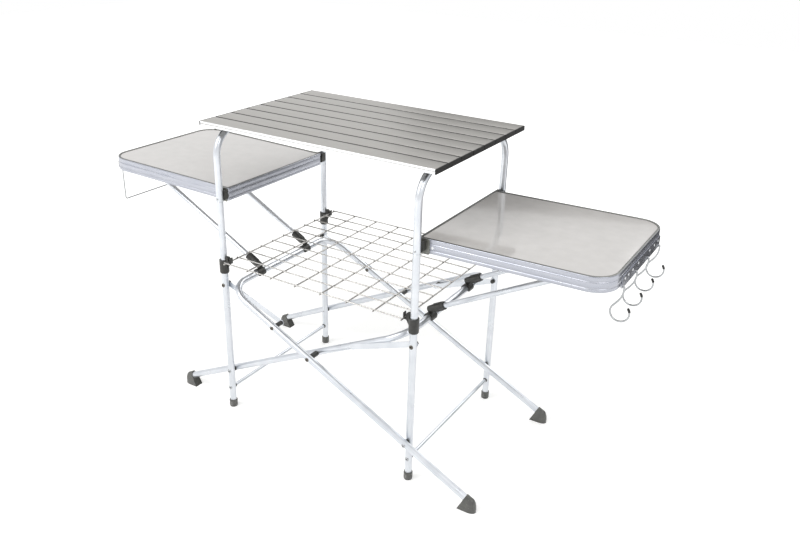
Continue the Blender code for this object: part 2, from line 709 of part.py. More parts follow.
def make_tray(end, turn):
    """A flat panel in a rim with a lip, a ledge, corner plates and the strut brackets."""
    place = turn @ TRAY_FRAME
    panel = sheet(
        [tray_outline(RIM_WALL + FIT)],
        PANEL_THICKNESS,
        Matrix.Translation((0, 0, -panel_top() - PANEL_THICKNESS / 2)),
    )
    rim = tray_ring(0, RIM_WALL, 0, TRAY_RIM_HEIGHT)
    ledge = cross_bar_top()
    join(
        rim,
        tray_ring(SMALL, RIM_LIP_WIDTH, SMALL / 4, RIM_LIP_THICKNESS),
        tray_ring(RIM_WALL / 2, RIM_LEDGE_WIDTH, ledge, ledge + RIM_LEDGE_THICKNESS),
        solver="MANIFOLD",
    )
    for depth in RIM_GROOVES:
        cut(rim, tray_ring(-0.002, RIM_GROOVE_DEPTH, depth, depth + RIM_GROOVE_WIDTH), solver="MANIFOLD")
    inside = TRAY_HALF_WIDTH - RIM_WALL / 2
    bar_low = (STRUT_PIVOT_OUT - CLEVIS_HALF_LENGTH, -inside, -ledge - CROSS_BAR_THICKNESS)
    bar_high = (STRUT_PIVOT_OUT + CLEVIS_HALF_LENGTH, inside, -ledge)
    join(rim, box(bar_low, bar_high), solver="MANIFOLD")
    for y in strut_offsets():
        hole = bar((STRUT_PIVOT_OUT, y - 0.03, -STRUT_PIVOT_DOWN), (STRUT_PIVOT_OUT, y + 0.03, -STRUT_PIVOT_DOWN), PIN_HOLE_R)
        cut(join(rim, *clevis_plates(y), solver="MANIFOLD"), hole, solver="MANIFOLD")
    for side in (-1, 1):
        ys = sorted((side * (TRAY_HALF_WIDTH - RIM_GROOVE_DEPTH - SMALL), side * (TRAY_HALF_WIDTH + CORNER_PLATE_THICKNESS)))
        plate = box(
            (CORNER_PLATE_START, ys[0], -CORNER_PLATE_HEIGHT),
            (CORNER_PLATE_START + CORNER_PLATE_LENGTH, ys[1], -SMALL),
        )
        join(rim, plate, solver="MANIFOLD")
        far = side * (TRAY_HALF_WIDTH + 0.01)
        notch = bar((CORNER_PLATE_START, side * (TRAY_HALF_WIDTH + SMALL / 4), -NOTCH_DEPTH_Z), (CORNER_PLATE_START, far, -NOTCH_DEPTH_Z), NOTCH_R, sides=16)
        cut(rim, notch, solver="MANIFOLD")
    if end == "left":
        join(rim, *bail_ears(), solver="MANIFOLD")
    moved(panel, place)
    moved(rim, place)
    finish(panel, f"{end}_tray_panel", PANEL)
    finish(rim, f"{end}_tray_rim", ALUMINIUM, place.translation)


def bail_ears():
    """Two ears on the rim's outer end, bored for the towel bail's ends, in the tray's own frame."""
    out = TRAY_LENGTH + BAIL_OUT
    ears = []
    for side in (-1, 1):
        ys = sorted((side * EAR_Y, side * (EAR_Y + EAR_THICKNESS)))
        ear = box((TRAY_LENGTH - EAR_ROOT, ys[0], -BAIL_DROP - EAR_HALF), (out + EAR_HALF, ys[1], -BAIL_DROP + EAR_HEIGHT))
        cut(ear, bar((out, side * EAR_Y - 0.01, -BAIL_DROP), (out, side * EAR_Y + 0.01, -BAIL_DROP), BAIL_WIRE_R + 2 * FIT))
        ears.append(ear)
    return ears


def make_bail():
    """The towel bail that hangs from two ears at the left tray's outer end."""
    pivot = TRAY_FRAME @ Vector((TRAY_LENGTH + BAIL_OUT, 0, -BAIL_DROP))
    end_y = EAR_Y + EAR_THICKNESS + BAIL_END
    route = []
    for y, z in (
        (-end_y, pivot.z),
        (-BAIL_HALF_WIDTH, pivot.z),
        (-BAIL_HALF_WIDTH, BAIL_BOTTOM_Z),
        (BAIL_HALF_WIDTH, BAIL_BOTTOM_Z),
        (BAIL_HALF_WIDTH, pivot.z),
        (end_y, pivot.z),
    ):
        route.append((pivot.x, y, z))
    bail = wire(bent(route, BAIL_BEND_R, 4), BAIL_WIRE_R, 1)
    moved(bail, HALF_TURN)
    finish(bail, "towel_bail", BRIGHT, HALF_TURN @ pivot)


def hook_pivot(y):
    """Where a hook hangs on the strip: the middle of the bar under its hole."""
    out = TRAY_LENGTH + FIT + STRIP_THICKNESS / 2
    return TRAY_FRAME @ Vector((out, y, -TRAY_RIM_HEIGHT - HOOK_BAR_DROP))


def make_hook_strip():
    """A riveted strip on the right tray's outer end, with a hole for each hook."""
    inner = TRAY_LENGTH + FIT
    outer = inner + STRIP_THICKNESS
    low = -TRAY_RIM_HEIGHT - HOOK_BAR_DROP - HOOK_BAR / 2
    strip = box((inner, STRIP_START_Y, low), (outer, STRIP_END_Y, -STRIP_TOP))
    for y in STRIP_RIVETS_Y:
        join(strip, bar((outer - SMALL, y, -STRIP_RIVET_DOWN), (outer + 0.001, y, -STRIP_RIVET_DOWN), STRIP_RIVET_R, sides=8))
    for i in range(HOOK_COUNT):
        y = HOOK_FIRST_Y + i * HOOK_PITCH
        z = low + HOOK_BAR + HOOK_HOLE_R
        cut(strip, bar((inner - 0.01, y, z), (outer + 0.01, y, z), HOOK_HOLE_R, sides=TUBE_SIDES))
    moved(strip, TRAY_FRAME)
    finish(strip, "hook_strip", ALUMINIUM, TRAY_FRAME @ Vector((inner, 0, low)))


def hook_point(radius, degrees, centre=(0, 0)):
    """A point on a circle in the hook's plane."""
    angle = math.radians(degrees)
    return Vector((centre[0] + radius * math.cos(angle), 0, centre[1] + radius * math.sin(angle)))


def make_hook(number):
    """A wire hook: an eye over the strip's bar, a neck that bulges inwards and an open ring with a vinyl tip."""
    centre = (HOOK_RING_OUT, -HOOK_RING_DROP)
    eye = [hook_point(HOOK_EYE_R, 195 - 195 * i / 8) for i in range(9)]
    neck_top = Vector((HOOK_EYE_R, 0, -1.5 * HOOK_EYE_R))
    ring_start = hook_point(HOOK_RING_R, HOOK_RING_START, centre)
    heading = hook_point(1, HOOK_RING_START + 90)
    neck = interpolate_bezier(
        neck_top,
        neck_top - Vector((0, 0, HOOK_RING_R * 0.7)),
        ring_start - heading * HOOK_RING_R * 0.8,
        ring_start,
        6,
    )
    sweep = HOOK_RING_END - HOOK_RING_START
    ring = [hook_point(HOOK_RING_R, HOOK_RING_START + sweep * i / 14, centre) for i in range(1, 15)]
    hook = wire(eye + neck + ring, HOOK_WIRE_R, 1)
    tip_sweep = math.degrees(HOOK_TIP_LENGTH / HOOK_RING_R)
    tip = [hook_point(HOOK_RING_R, HOOK_RING_END + 1 - tip_sweep * i / 3, centre) for i in range(4)]
    join(hook, wire(tip, HOOK_TIP_R, 1))
    pivot = hook_pivot(HOOK_FIRST_Y + (number - 1) * HOOK_PITCH)
    moved(hook, Matrix.Translation(pivot))
    finish(hook, f"hook_{number}", BRIGHT, pivot)


def make_struts(end, turn):
    """Two struts from the tray's brackets down to sockets that sit on a cross tube."""
    for y in strut_offsets():
        low = Vector((CROSS_TUBE_X, y, CROSS_TUBE_Z + STRUT_RISE))
        top = TRAY_FRAME @ Vector((STRUT_PIVOT_OUT, y, -STRUT_PIVOT_DOWN))
        along = (top - low).normalized()
        seat = low + along * SOCKET_SEAT
        strut = bar(seat, top + along * STRUT_R, STRUT_R, sides=TUBE_SIDES)
        half_pin = STRUT_R + 2 * FIT + CLEVIS_THICKNESS + 0.001
        join(strut, bar((top.x, y - half_pin, top.z), (top.x, y + half_pin, top.z), PIN_R))
        socket = bar(low + along * SOCKET_START, low + along * SOCKET_LENGTH, SOCKET_R, sides=TUBE_SIDES)
        jaw_low = (CROSS_TUBE_X, y - JAW_HALF_WIDTH, CROSS_TUBE_Z)
        jaw_high = (CROSS_TUBE_X, y + JAW_HALF_WIDTH, CROSS_TUBE_Z)
        join(socket, bar(jaw_low, jaw_high, JAW_R, sides=16))
        tube_low = (CROSS_TUBE_X, y - 0.03, CROSS_TUBE_Z)
        tube_high = (CROSS_TUBE_X, y + 0.03, CROSS_TUBE_Z)
        mouth_z = CROSS_TUBE_Z - JAW_TIP
        cut(
            socket,
            bar(tube_low, tube_high, bore_radius(TUBE_R), sides=TUBE_SIDES),
            bar(seat - along * FIT, top, bore_radius(STRUT_R), sides=TUBE_SIDES),
            box((CROSS_TUBE_X - 0.03, y - 0.03, mouth_z - 0.03), (CROSS_TUBE_X + 0.03, y + 0.03, mouth_z)),
        )
        spot = turn @ low
        label = label_of(spot.y)
        for piece, name, surface in ((strut, "strut", ALUMINIUM), (socket, "strut_socket", PLASTIC)):
            moved(piece, turn)
            finish(piece, f"{end}_{name}_{label}", surface, turn @ top)


def make_buttons(end, turn):
    """Snap buttons that hold the upper frame's tubes on the spigots."""
    for side in (-1, 1):
        inner = UPRIGHT_Y + SPIGOT_R - BUTTON_POCKET + BUTTON_TRAVEL + FIT
        outer = UPRIGHT_Y + TUBE_R + BUTTON_PROUD
        neck = outer - BUTTON_PROUD / 2
        button = bar((UPRIGHT_X, side * inner, BUTTON_Z), (UPRIGHT_X, side * neck, BUTTON_Z), BUTTON_R)
        join(button, bar((UPRIGHT_X, side * (neck - SMALL), BUTTON_Z), (UPRIGHT_X, side * outer, BUTTON_Z), BUTTON_R * 0.98, BUTTON_R * 0.6))
        spot = turn @ Vector((UPRIGHT_X, side * outer, BUTTON_Z))
        moved(button, turn)
        finish(button, f"{end}_snap_button_{label_of(spot.y)}", BRIGHT, spot)


def centre_on_floor():
    """Move every piece so that the origin is on the floor under the middle of the table's box."""
    bpy.context.view_layer.update()
    spots = [piece.matrix_world @ Vector(corner) for piece in table.objects for corner in piece.bound_box]
    xs = [spot.x for spot in spots]
    ys = [spot.y for spot in spots]
    middle = Vector(((min(xs) + max(xs)) / 2, (min(ys) + max(ys)) / 2, 0))
    for piece in table.objects:
        piece.location -= middle


for end_name, half_turn in ENDS.items():
    make_leg_frame(end_name, half_turn)
    make_foot_caps(end_name, half_turn)
    make_shelf_clips(end_name, half_turn)
    make_upper_frame(end_name, half_turn)
    make_receivers(end_name, half_turn)
    make_tray(end_name, half_turn)
    make_struts(end_name, half_turn)
    make_buttons(end_name, half_turn)
make_cross_frame("cross_frame_a", ENDS["right"])
make_shoes("shoe_a", ENDS["right"])
make_cross_frame("cross_frame_b", ENDS["left"])
make_shoes("shoe_b", ENDS["left"])
for end_name, end_side in (("left", -1), ("right", 1)):
    for y_side in (-1, 1):
        link_name = f"{end_name}_link_{label_of(y_side)}"
        make_link(link_name, (end_side * UPRIGHT_X, y_side), end_side * LINK_LEG_X)
for slat_number in range(1, SLAT_COUNT + 1):
    make_slat(slat_number)
make_shelf()
make_hook_strip()
for hook_number in range(1, HOOK_COUNT + 1):
    make_hook(hook_number)
make_bail()
centre_on_floor()
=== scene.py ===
"""Looks of a folding camp grill table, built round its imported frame.

Every shown piece stands for one node of the frame and rides on that node's body. X runs along the table, Y
from front to back and Z up. What both ends have is drawn for the right end and turned half a turn for the
left one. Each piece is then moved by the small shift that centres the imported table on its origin.
"""

import json
import math

import bmesh
import bpy
from mathutils import Matrix, Vector
from mathutils.geometry import interpolate_bezier


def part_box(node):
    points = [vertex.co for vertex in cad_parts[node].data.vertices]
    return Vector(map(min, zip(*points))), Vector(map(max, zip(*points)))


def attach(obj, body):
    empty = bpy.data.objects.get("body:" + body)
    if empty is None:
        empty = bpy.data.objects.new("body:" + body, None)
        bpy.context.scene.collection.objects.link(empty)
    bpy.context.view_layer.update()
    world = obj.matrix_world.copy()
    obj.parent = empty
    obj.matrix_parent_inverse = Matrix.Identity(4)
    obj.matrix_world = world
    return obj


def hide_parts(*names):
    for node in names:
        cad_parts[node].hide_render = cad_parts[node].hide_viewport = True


MM = 0.001  # sizes are in millimetres, and the shown meshes, the studio and the camera in metres

# Tubes of the stand
TUBE_R = 9
FIT = 0.3
UPRIGHT_X = 291
UPRIGHT_Y = 220
JOINT_Z = 617
SPIGOT_R = 7.4
SPIGOT_LENGTH = 34
RAIL_Z = 63
RAIL_R = 5
RAIL_SEAT_WALL = 1.6
RAIL_SEAT_HEIGHT = 4
RAIL_SEAT_SUNK = 1
FOOT_TUBE_Z = 4
CROSS_GAP = 2.5
LOW_PIVOT_Z = 116.5
CENTRE_PIVOT_Z = 261.5
CROSS_TUBE_X = 257.6
FOOT_END_X = 477
FRAME_BEND_R = 60
UPPER_BEND_R = 65

# Feet
CAP_R = 11.5
CAP_HEIGHT = 22
CAP_RIBS = 3
CAP_RIB_PITCH = 4
CAP_RIB_WIDTH = 2.2
CAP_GROOVE = 0.6
SHOE_HALF = 12.5
SHOE_COVER = 17
SHOE_TOE_X = 493
SHOE_LIP_WALL = 1.6
SHOE_LIP_PROUD = 0.6
SHOE_NOSE_START = 0.55  # share of the shoe's length where its nose begins
SHOE_NOSE_POWER = 2.4
SHOE_NOSE_WIDTH = 0.05  # shares of the width and the height that the nose keeps
SHOE_NOSE_HEIGHT = 0.35
SHOE_WIDTH_POWER = 0.78  # powers under 1 make the shoe's back squarer than a circle
SHOE_HEIGHT_POWER = 0.82

# Pins, rivets and links
PIN_R = 3
HEAD_R = 5.5
HEAD_HEIGHT = 1.8
RIVET_EYE_R = 2.1
WASHER_R = 7.2
SPACER_R = 6
LINK_TOP_Z = 382.7
LINK_LEG_X = 112
LINK_THICKNESS = 1.7
LINK_HALF_WIDTH = 7.5
KNOB_R = 6
KNOB_LENGTH = 7
BUTTON_Z = 624.5
BUTTON_R = 2.8
BUTTON_PROUD = 1.6

# Roll top
TOP_HEIGHT = 820
SLAT_COUNT = 8
SLAT_PITCH = 57.2
SLAT_GAP = 1.2
SLAT_THICKNESS = 12
SLAT_EDGE_R = 1.5
SLAT_WALL = 1.6
SLAT_FLANGE = 7
SLAT_CAP = 3
SLAT_FOOT_R = 0.8
SLAT_PLAIN_EDGE = 0.2
SEAM_WIDTH = 3.4  # half of the rebate between two slats, which holds a dark strip of painted shade
SEAM_DEPTH = 2.5
SEAM_SUNK = 0.5
SEAM_EDGE_R = 0.5
TRIM_DEPTH = 1
TRIM_SUNK = 0.2
TRIM_ROUND = 0.8
TRIM_SPLIT = 0.8  # half of the groove between the trim's two bands
TRIM_DROP = 0.3
TOP_LENGTH = 669
CLIP_SLATS = (1, 6)
CLIP_WIDTH = 18
CLIP_THICKNESS = 4
CLIP_DROP = 9.5
CLIP_SUNK = 2
CLIP_CORNER_R = 4

# Wire shelf and its clips
SHELF_Z = 454
SHELF_HALF_X = 269.5
SHELF_HALF_Y = 244
SHELF_WIRE_R = 2
SHELF_CROSS_WIRE_R = 1.7
SHELF_CROSS_WIRES = 11
SHELF_LONG_WIRES = 8
SHELF_WELD_SUNK = 0.5
SHELF_CLIP_LOW = 418
SHELF_CLIP_HIGH = 456
SHELF_CLIP_R = 12.5
SHELF_CLIP_TIP = 466
SHELF_ARM_HALF = 5
SHELF_ARM_WALL = 3.5
SHELF_WEB_START = 8
SHELF_WEB_REACH = 5
SHELF_WEB_THICKNESS = 3

# Trays: x out along the tray from its inner lip, z up from the lip
TRAY_INNER_X = 282
TRAY_LIP_Z = 647.7
TRAY_TILT = math.radians(1.09)
TRAY_LENGTH = 440.2
TRAY_HALF_WIDTH = 197.4
TRAY_RIM_HEIGHT = 35
TRAY_OUTER_R = 55
TRAY_INNER_R = 4
RIM_WALL = 2.6
RIM_LIP_WIDTH = 6
RIM_LEDGE_WIDTH = 9
RIM_LEDGE_THICKNESS = 1.4
PANEL_TOP = 1.5
PANEL_THICKNESS = 3
CORNER_PLATE_START = 5
CORNER_PLATE_LENGTH = 23
CORNER_PLATE_HEIGHT = 37.5
CORNER_PLATE_THICKNESS = 1.6
CORNER_PLATE_CHAMFER = 2
CORNER_PLATE_DROP = 0.4
CORNER_PLATE_SUNK = 0.4
STUD_OUT = 7
STUD_DOWN = 20
NOTCH_DEPTH_Z = 19
NOTCH_R = 8
RECEIVER_HALF_X = 11.5
RECEIVER_LOW = 618.5
RECEIVER_HIGH = 645
RECEIVER_WRAP = 4
RECEIVER_PRONG_X = 8
RECEIVER_VALLEY_HALF = 2
RECEIVER_VALLEY_DEPTH = 7.6

# Struts
STRUT_R = 7
STRUT_SPACING = 200
STRUT_PIVOT_OUT = 362.3
STRUT_PIVOT_DOWN = 38.6
STRUT_RISE = 21
SOCKET_R = 10.5
SOCKET_START = -6
SOCKET_LENGTH = 43
SOCKET_SEAT = 12
RIB_START = 8
RIB_END = 40
RIB_TAPER = 2
RIB_OFFSET = 4
RIB_THICKNESS = 1.4
JAW_R = 12.8
JAW_HALF_WIDTH = 13
JAW_OUTER_DIP = 23  # how far the jaw reaches below the tube's middle, outside and inside, in degrees
JAW_INNER_DIP = 32
CLEVIS_THICKNESS = 2
CLEVIS_HALF_LENGTH = 9
CROSS_BAR_THICKNESS = 3

# Hook strip, hooks and towel bail
STRIP_THICKNESS = 1.2
STRIP_START_Y = -128
STRIP_END_Y = 153
STRIP_TOP = 16
STRIP_CORNER_R = 3
STRIP_RIVETS_Y = (136, 106, 69, -16, -57, -87, -110)
STRIP_RIVET_DOWN = 25
STRIP_RIVET_R = 3
HOOK_COUNT = 4
HOOK_FIRST_Y = -121
HOOK_PITCH = 89
HOOK_WIRE_R = 2
HOOK_BAR = 3
HOOK_BAR_DROP = 6.8
HOOK_EYE_R = 3.95
HOOK_EYE_SWEEP = 195
HOOK_NECK_DROP = 1.5 * HOOK_EYE_R
HOOK_HOLE_R = 2.7
HOOK_RING_R = 20.5
HOOK_NECK_PULL = 0.7 * HOOK_RING_R  # how far the neck runs on straight from the eye and into the ring
HOOK_RING_PULL = 0.8 * HOOK_RING_R
HOOK_RING_DROP = 57.3
HOOK_RING_OUT = 2
HOOK_RING_START = 140
HOOK_RING_END = 400
HOOK_TIP_R = 2.8
HOOK_TIP_LENGTH = 10
BAIL_OUT = 4.2
BAIL_DROP = 41.5
BAIL_BOTTOM_Z = 515
BAIL_HALF_WIDTH = 155
BAIL_WIRE_R = 1.75
BAIL_BEND_R = 5
BAIL_END = 1.5
EAR_THICKNESS = 2.5
EAR_HALF = 5
EAR_HEIGHT = 16
EAR_ROOT = 5.5

# How finely things are drawn
TUBE_SIDES = 32
WIRE_SIDES = 14
BEND_STEPS = 16
EYE_STEPS = 16
RING_STEPS = 40
TIP_STEPS = 8
RIVET_SIDES = 24
STUD_SIDES = 20
SHOE_STATIONS = 22
SHOE_STEPS = 32
EDGE = 0.5  # the broken edge of a sawn or moulded piece
THIN_EDGE = 0.3
SHARP_ANGLE = math.radians(38)
NOISE_RANGE = (0.3, 0.7)  # a noise texture seldom leaves this range
COAT_ROUGHNESS = 0.05

LEG_OFFSET = 2 * TUBE_R + CROSS_GAP
OUTER_LEG_Y = UPRIGHT_Y + LEG_OFFSET
INNER_LEG_Y = UPRIGHT_Y - LEG_OFFSET
LEG_SLOPE = (CENTRE_PIVOT_Z - LOW_PIVOT_Z) / UPRIGHT_X
CROSS_TUBE_Z = CENTRE_PIVOT_Z + LEG_SLOPE * CROSS_TUBE_X
SLAT_BOTTOM = TOP_HEIGHT - SLAT_THICKNESS
EAR_Y = BAIL_HALF_WIDTH + BAIL_BEND_R + FIT
UPPER_TUBE_Z = SLAT_BOTTOM - FIT - TUBE_R
LINK_PLANE_Y = UPRIGHT_Y - TUBE_R - FIT - LINK_THICKNESS / 2
LEDGE_TOP = PANEL_TOP + PANEL_THICKNESS + FIT
HALF_TURN = Matrix.Rotation(math.pi, 4, "Z")
TRAY_FRAME = Matrix.Translation((TRAY_INNER_X, 0, TRAY_LIP_Z)) @ Matrix.Rotation(-TRAY_TILT, 4, "Y")
ENDS = {"left": HALF_TURN, "right": Matrix.Identity(4)}
SIDES = (-1, 1)

# The camera that took the photograph, found from the table's size
CAMERA_SPOT = (1.0884, -1.6357, 1.3180)
CAMERA_AZIMUTH = math.radians(30.89)
CAMERA_ELEVATION = math.radians(24.50)
CAMERA_ROLL = math.radians(1.717)
SENSOR_WIDTH = 36
FOCAL_PIXELS = 802.56
IMAGE_WIDTH = 800

# The floor's lift grows between these two distances from the table, in metres
FADE_START = 0.8
FADE_END = 3.5

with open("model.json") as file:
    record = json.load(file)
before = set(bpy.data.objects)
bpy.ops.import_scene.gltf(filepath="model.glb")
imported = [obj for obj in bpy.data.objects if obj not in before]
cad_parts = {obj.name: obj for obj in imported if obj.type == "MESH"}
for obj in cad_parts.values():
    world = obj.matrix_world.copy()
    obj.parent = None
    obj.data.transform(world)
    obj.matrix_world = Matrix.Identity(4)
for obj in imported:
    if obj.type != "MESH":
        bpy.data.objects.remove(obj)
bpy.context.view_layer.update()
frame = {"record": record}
record = frame["record"]
BODY_OF = {node: body for body, nodes in record["behaviour"]["bodies"].items() for node in nodes}
shelf_low, shelf_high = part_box("wire_shelf")
CENTRING = Matrix.Translation(((shelf_low.x + shelf_high.x) / 2, 0, 0))


# Finishes


def linear(code):
    """Linear colour of an sRGB hex code."""
    parts = [int(code[i : i + 2], 16) / 255 for i in (1, 3, 5)]
    return (*[p / 12.92 if p <= 0.04045 else ((p + 0.055) / 1.055) ** 2.4 for p in parts], 1)


def add(tree, kind, sockets=None, **settings):
    """Add one node with its settings, and set or link its sockets."""
    made = tree.nodes.new(kind)
    for key, value in settings.items():
        setattr(made, key, value)
    for key, value in (sockets or {}).items():
        if isinstance(value, bpy.types.NodeSocket):
            tree.links.new(value, made.inputs[key])
        else:
            made.inputs[key].default_value = value
    return made


def blank(name):
    """A new material with its node tree and its shader."""
    made = bpy.data.materials.new(name)
    made.use_nodes = True
    return made, made.node_tree, made.node_tree.nodes["Principled BSDF"]


def grain(tree, size, low=0.0, high=1.0):
    """Noise that runs from low to high, in patches of this size or of these sizes along X, Y and Z."""
    lengths = size if isinstance(size, tuple) else (size, size, size)
    scale = [1 / (length * MM) for length in lengths]
    spot = add(tree, "ShaderNodeTexCoord").outputs["Object"]
    scaled = add(tree, "ShaderNodeMapping", {"Vector": spot, "Scale": scale})
    noise = add(tree, "ShaderNodeTexNoise", {"Vector": scaled.outputs["Vector"], "Scale": 1.0, "Detail": 3.0})
    sockets = {"Value": noise.outputs["Fac"], "From Min": NOISE_RANGE[0], "From Max": NOISE_RANGE[1]}
    sockets |= {"To Min": low, "To Max": high}
    return add(tree, "ShaderNodeMapRange", sockets).outputs["Result"]


def finish(name, colours, patch, roughness, rough_patch, bump, bump_patch, metallic=0.0, coat=0.0):
    """A material with its colour, roughness and surface height from noise of real sizes."""
    made, tree, shader = blank(name)
    shader.inputs["Metallic"].default_value = metallic
    shader.inputs["Coat Weight"].default_value = coat
    shader.inputs["Coat Roughness"].default_value = COAT_ROUGHNESS
    dark, light = [linear(code) for code in colours]
    # Sockets 6 and 7 and output 2 of a Mix node are its colours
    tint = add(tree, "ShaderNodeMix", {0: grain(tree, patch), 6: dark, 7: light}, data_type="RGBA")
    tree.links.new(tint.outputs[2], shader.inputs["Base Color"])
    tree.links.new(grain(tree, rough_patch, *roughness), shader.inputs["Roughness"])
    sockets = {"Height": grain(tree, bump_patch), "Strength": 1.0, "Distance": bump * MM}
    tree.links.new(add(tree, "ShaderNodeBump", sockets).outputs["Normal"], shader.inputs["Normal"])
    return made


# Aluminium tube, etched and clear anodised: a soft silver with a cool cast, where handling has left patches a
# few centimetres long. The etch is too fine to show, so it is drawn 2 mm coarse.
ANODISED_TUBE = finish(
    "anodised aluminium tube",
    colours=("#ced2d8", "#dde0e5"), patch=45,
    roughness=(0.27, 0.295), rough_patch=70,
    bump=0.001, bump_patch=2,
    metallic=0.9,
)

# Anodised aluminium extrusion of the tray rims: darker than the tube and slightly lavender, with die lines.
ANODISED_RIM = finish(
    "anodised aluminium extrusion",
    colours=("#abaeb8", "#b6b8c0"), patch=(60, 60, 5),
    roughness=(0.26, 0.29), rough_patch=(80, 80, 20),
    bump=0.001, bump_patch=(40, 40, 1),
    metallic=0.85,
)

# Warm grey anodised aluminium of the slats, brushed along their length. Real brush lines are about 0.1 mm
# apart, and they are drawn 1.2 mm apart so that they show.
BRUSHED_SLAT = finish(
    "brushed grey anodised aluminium",
    colours=("#a8a6a2", "#b4b2ae"), patch=(90, 1.2, 4),
    roughness=(0.36, 0.40), rough_patch=(60, 1.6, 4),
    bump=0.003, bump_patch=(70, 1.2, 4),
    metallic=0.75,
)

# Zinc-plated steel of the trays' corner plates: a flat mid grey with the plating's faint bloom.
ZINC_PLATE = finish(
    "zinc plated steel",
    colours=("#868680", "#96968f"), patch=8,
    roughness=(0.36, 0.44), rough_patch=10,
    bump=0.004, bump_patch=2,
    metallic=0.8,
)

# The trays' lip: a dark grey band laid on the rim's top, that shows as a dark line round each panel.
DARK_EDGING = finish(
    "dark lip band",
    colours=("#5f605e", "#6c6d6a"), patch=(50, 50, 5),
    roughness=(0.30, 0.36), rough_patch=(60, 60, 20),
    bump=0.001, bump_patch=(30, 30, 1),
    metallic=0.6,
)

# Bright-dipped aluminium of the front slat's trim, the rims' studs and the strip's rivets: near white, with
# soft lines along X.
BRIGHT_TRIM = finish(
    "bright dipped aluminium",
    colours=("#eceef1", "#f8f9fb"), patch=(80, 2, 2),
    roughness=(0.30, 0.34), rough_patch=(40, 2, 1),
    bump=0.001, bump_patch=(60, 2, 1),
    metallic=0.7,
)

# Melamine laminate on the tray panels, pressed to a high gloss: warm light grey, with the faintest cloudiness
# and an orange peel a few millimetres across that softens what it reflects.
LAMINATE = finish(
    "high gloss melamine laminate",
    colours=("#cbc8c5", "#d1cecb"), patch=30,
    roughness=(0.09, 0.13), rough_patch=25,
    bump=0.004, bump_patch=5,
    coat=0.5,
)

# Charcoal nylon of the collars, sockets, receivers, knobs and washers, injection moulded: a fine spark-eroded
# grain, drawn 0.8 mm coarse, with a dull sheen.
MOULDED_NYLON = finish(
    "moulded charcoal nylon",
    colours=("#31312f", "#3c3c39"), patch=9,
    roughness=(0.36, 0.48), rough_patch=3,
    bump=0.04, bump_patch=0.8,
)

# Soft PVC of the shoes and foot caps, moulded and glossy: a dark warm grey, a little cloudy.
MOULDED_PVC = finish(
    "moulded grey PVC",
    colours=("#454542", "#54544f"), patch=12,
    roughness=(0.20, 0.28), rough_patch=5,
    bump=0.01, bump_patch=1.5,
    coat=0.8,
)

# Nickel-plated steel wire of the shelf: warm grey, dulled a little in places.
NICKEL_WIRE = finish(
    "nickel plated steel wire",
    colours=("#a09e9b", "#bab8b5"), patch=35,
    roughness=(0.24, 0.30), rough_patch=30,
    bump=0.002, bump_patch=2,
    metallic=1.0,
)

# Chrome-plated steel of the hooks, towel bail, snap buttons, pins and the uprights' rivets: a cool grey that
# reflects clearly, blurred a little by handling.
CHROME = finish(
    "chrome plated steel",
    colours=("#9fa1a3", "#b1b3b5"), patch=20,
    roughness=(0.12, 0.16), rough_patch=20,
    bump=0.001, bump_patch=2,
    metallic=1.0,
)

# Burnished steel of the tubular rivets at the centre pivots and the links: brown-grey, worn unevenly.
BURNISHED_STEEL = finish(
    "burnished steel rivet",
    colours=("#5b5751", "#7a766f"), patch=2,
    roughness=(0.30, 0.45), rough_patch=1.5,
    bump=0.01, bump_patch=1,
    metallic=0.9,
)

# Dipped black vinyl on the hooks' tips: smooth, soft and rather shiny.
DIPPED_VINYL = finish(
    "dipped black vinyl",
    colours=("#161616", "#1f1f1e"), patch=4,
    roughness=(0.22, 0.32), rough_patch=3,
    bump=0.02, bump_patch=2,
)

# Black polypropylene of the slats' end caps and clips, injection moulded with a matt face. The same black
# fills the seams between the slats as painted shade.
BLACK_PLASTIC_AND_SEAM_SHADE = finish(
    "moulded black polypropylene and painted seam shade",
    colours=("#0f0f0e", "#171716"), patch=8,
    roughness=(0.42, 0.55), rough_patch=3,
    bump=0.03, bump_patch=0.8,
)


# Shapes


def loft(rings, loop=False):
    """Skin rings that have the same number of points, closed on itself or with a cap at each end."""
    bm = bmesh.new()
    rows = [[bm.verts.new(point) for point in ring] for ring in rings]
    pairs = list(zip(rows, rows[1:] + rows[:1]))
    for first, second in pairs if loop else pairs[:-1]:
        for i, corner in enumerate(first):
            after = (i + 1) % len(first)
            bm.faces.new((corner, first[after], second[after], second[i]))
    if not loop:
        bm.faces.new(rows[0][::-1])
        bm.faces.new(rows[-1])
    bmesh.ops.recalc_face_normals(bm, faces=bm.faces)
    return bm


def circle(radius, sides=TUBE_SIDES):
    """A circle in the XY plane."""
    angles = [math.tau * i / sides for i in range(sides)]
    return [Vector((radius * math.cos(angle), radius * math.sin(angle), 0)) for angle in angles]


def toward(start, direction):
    """The matrix that carries Z onto a direction, at a start point."""
    return Matrix.Translation(start) @ Vector(direction).to_track_quat("Z", "Y").to_matrix().to_4x4()


def tube(points, radius, sides=TUBE_SIDES, edge=EDGE):
    """A round tube or wire along a path, with broken edges at its ends."""
    points = [Vector(point) for point in points]
    ahead = [(b - a).normalized() for a, b in zip(points, points[1:])]
    second = points[0] + ahead[0] * edge
    last_but_one = points[-1] - ahead[-1] * edge
    points = [points[0], second, *points[1:-1], last_but_one, points[-1]]
    headings = [ahead[0], ahead[0]]
    headings += [(a + b).normalized() for a, b in zip(ahead, ahead[1:])]
    headings += [ahead[-1], ahead[-1]]
    radii = [radius - edge] + [radius] * (len(points) - 2) + [radius - edge]
    across = ahead[0].orthogonal().normalized()
    rings = []
    for point, heading, size in zip(points, headings, radii):
        across = (across - heading * across.dot(heading)).normalized()
        side = heading.cross(across)
        rings.append([point + across * v.x + side * v.y for v in circle(size, sides)])
    return loft(rings)


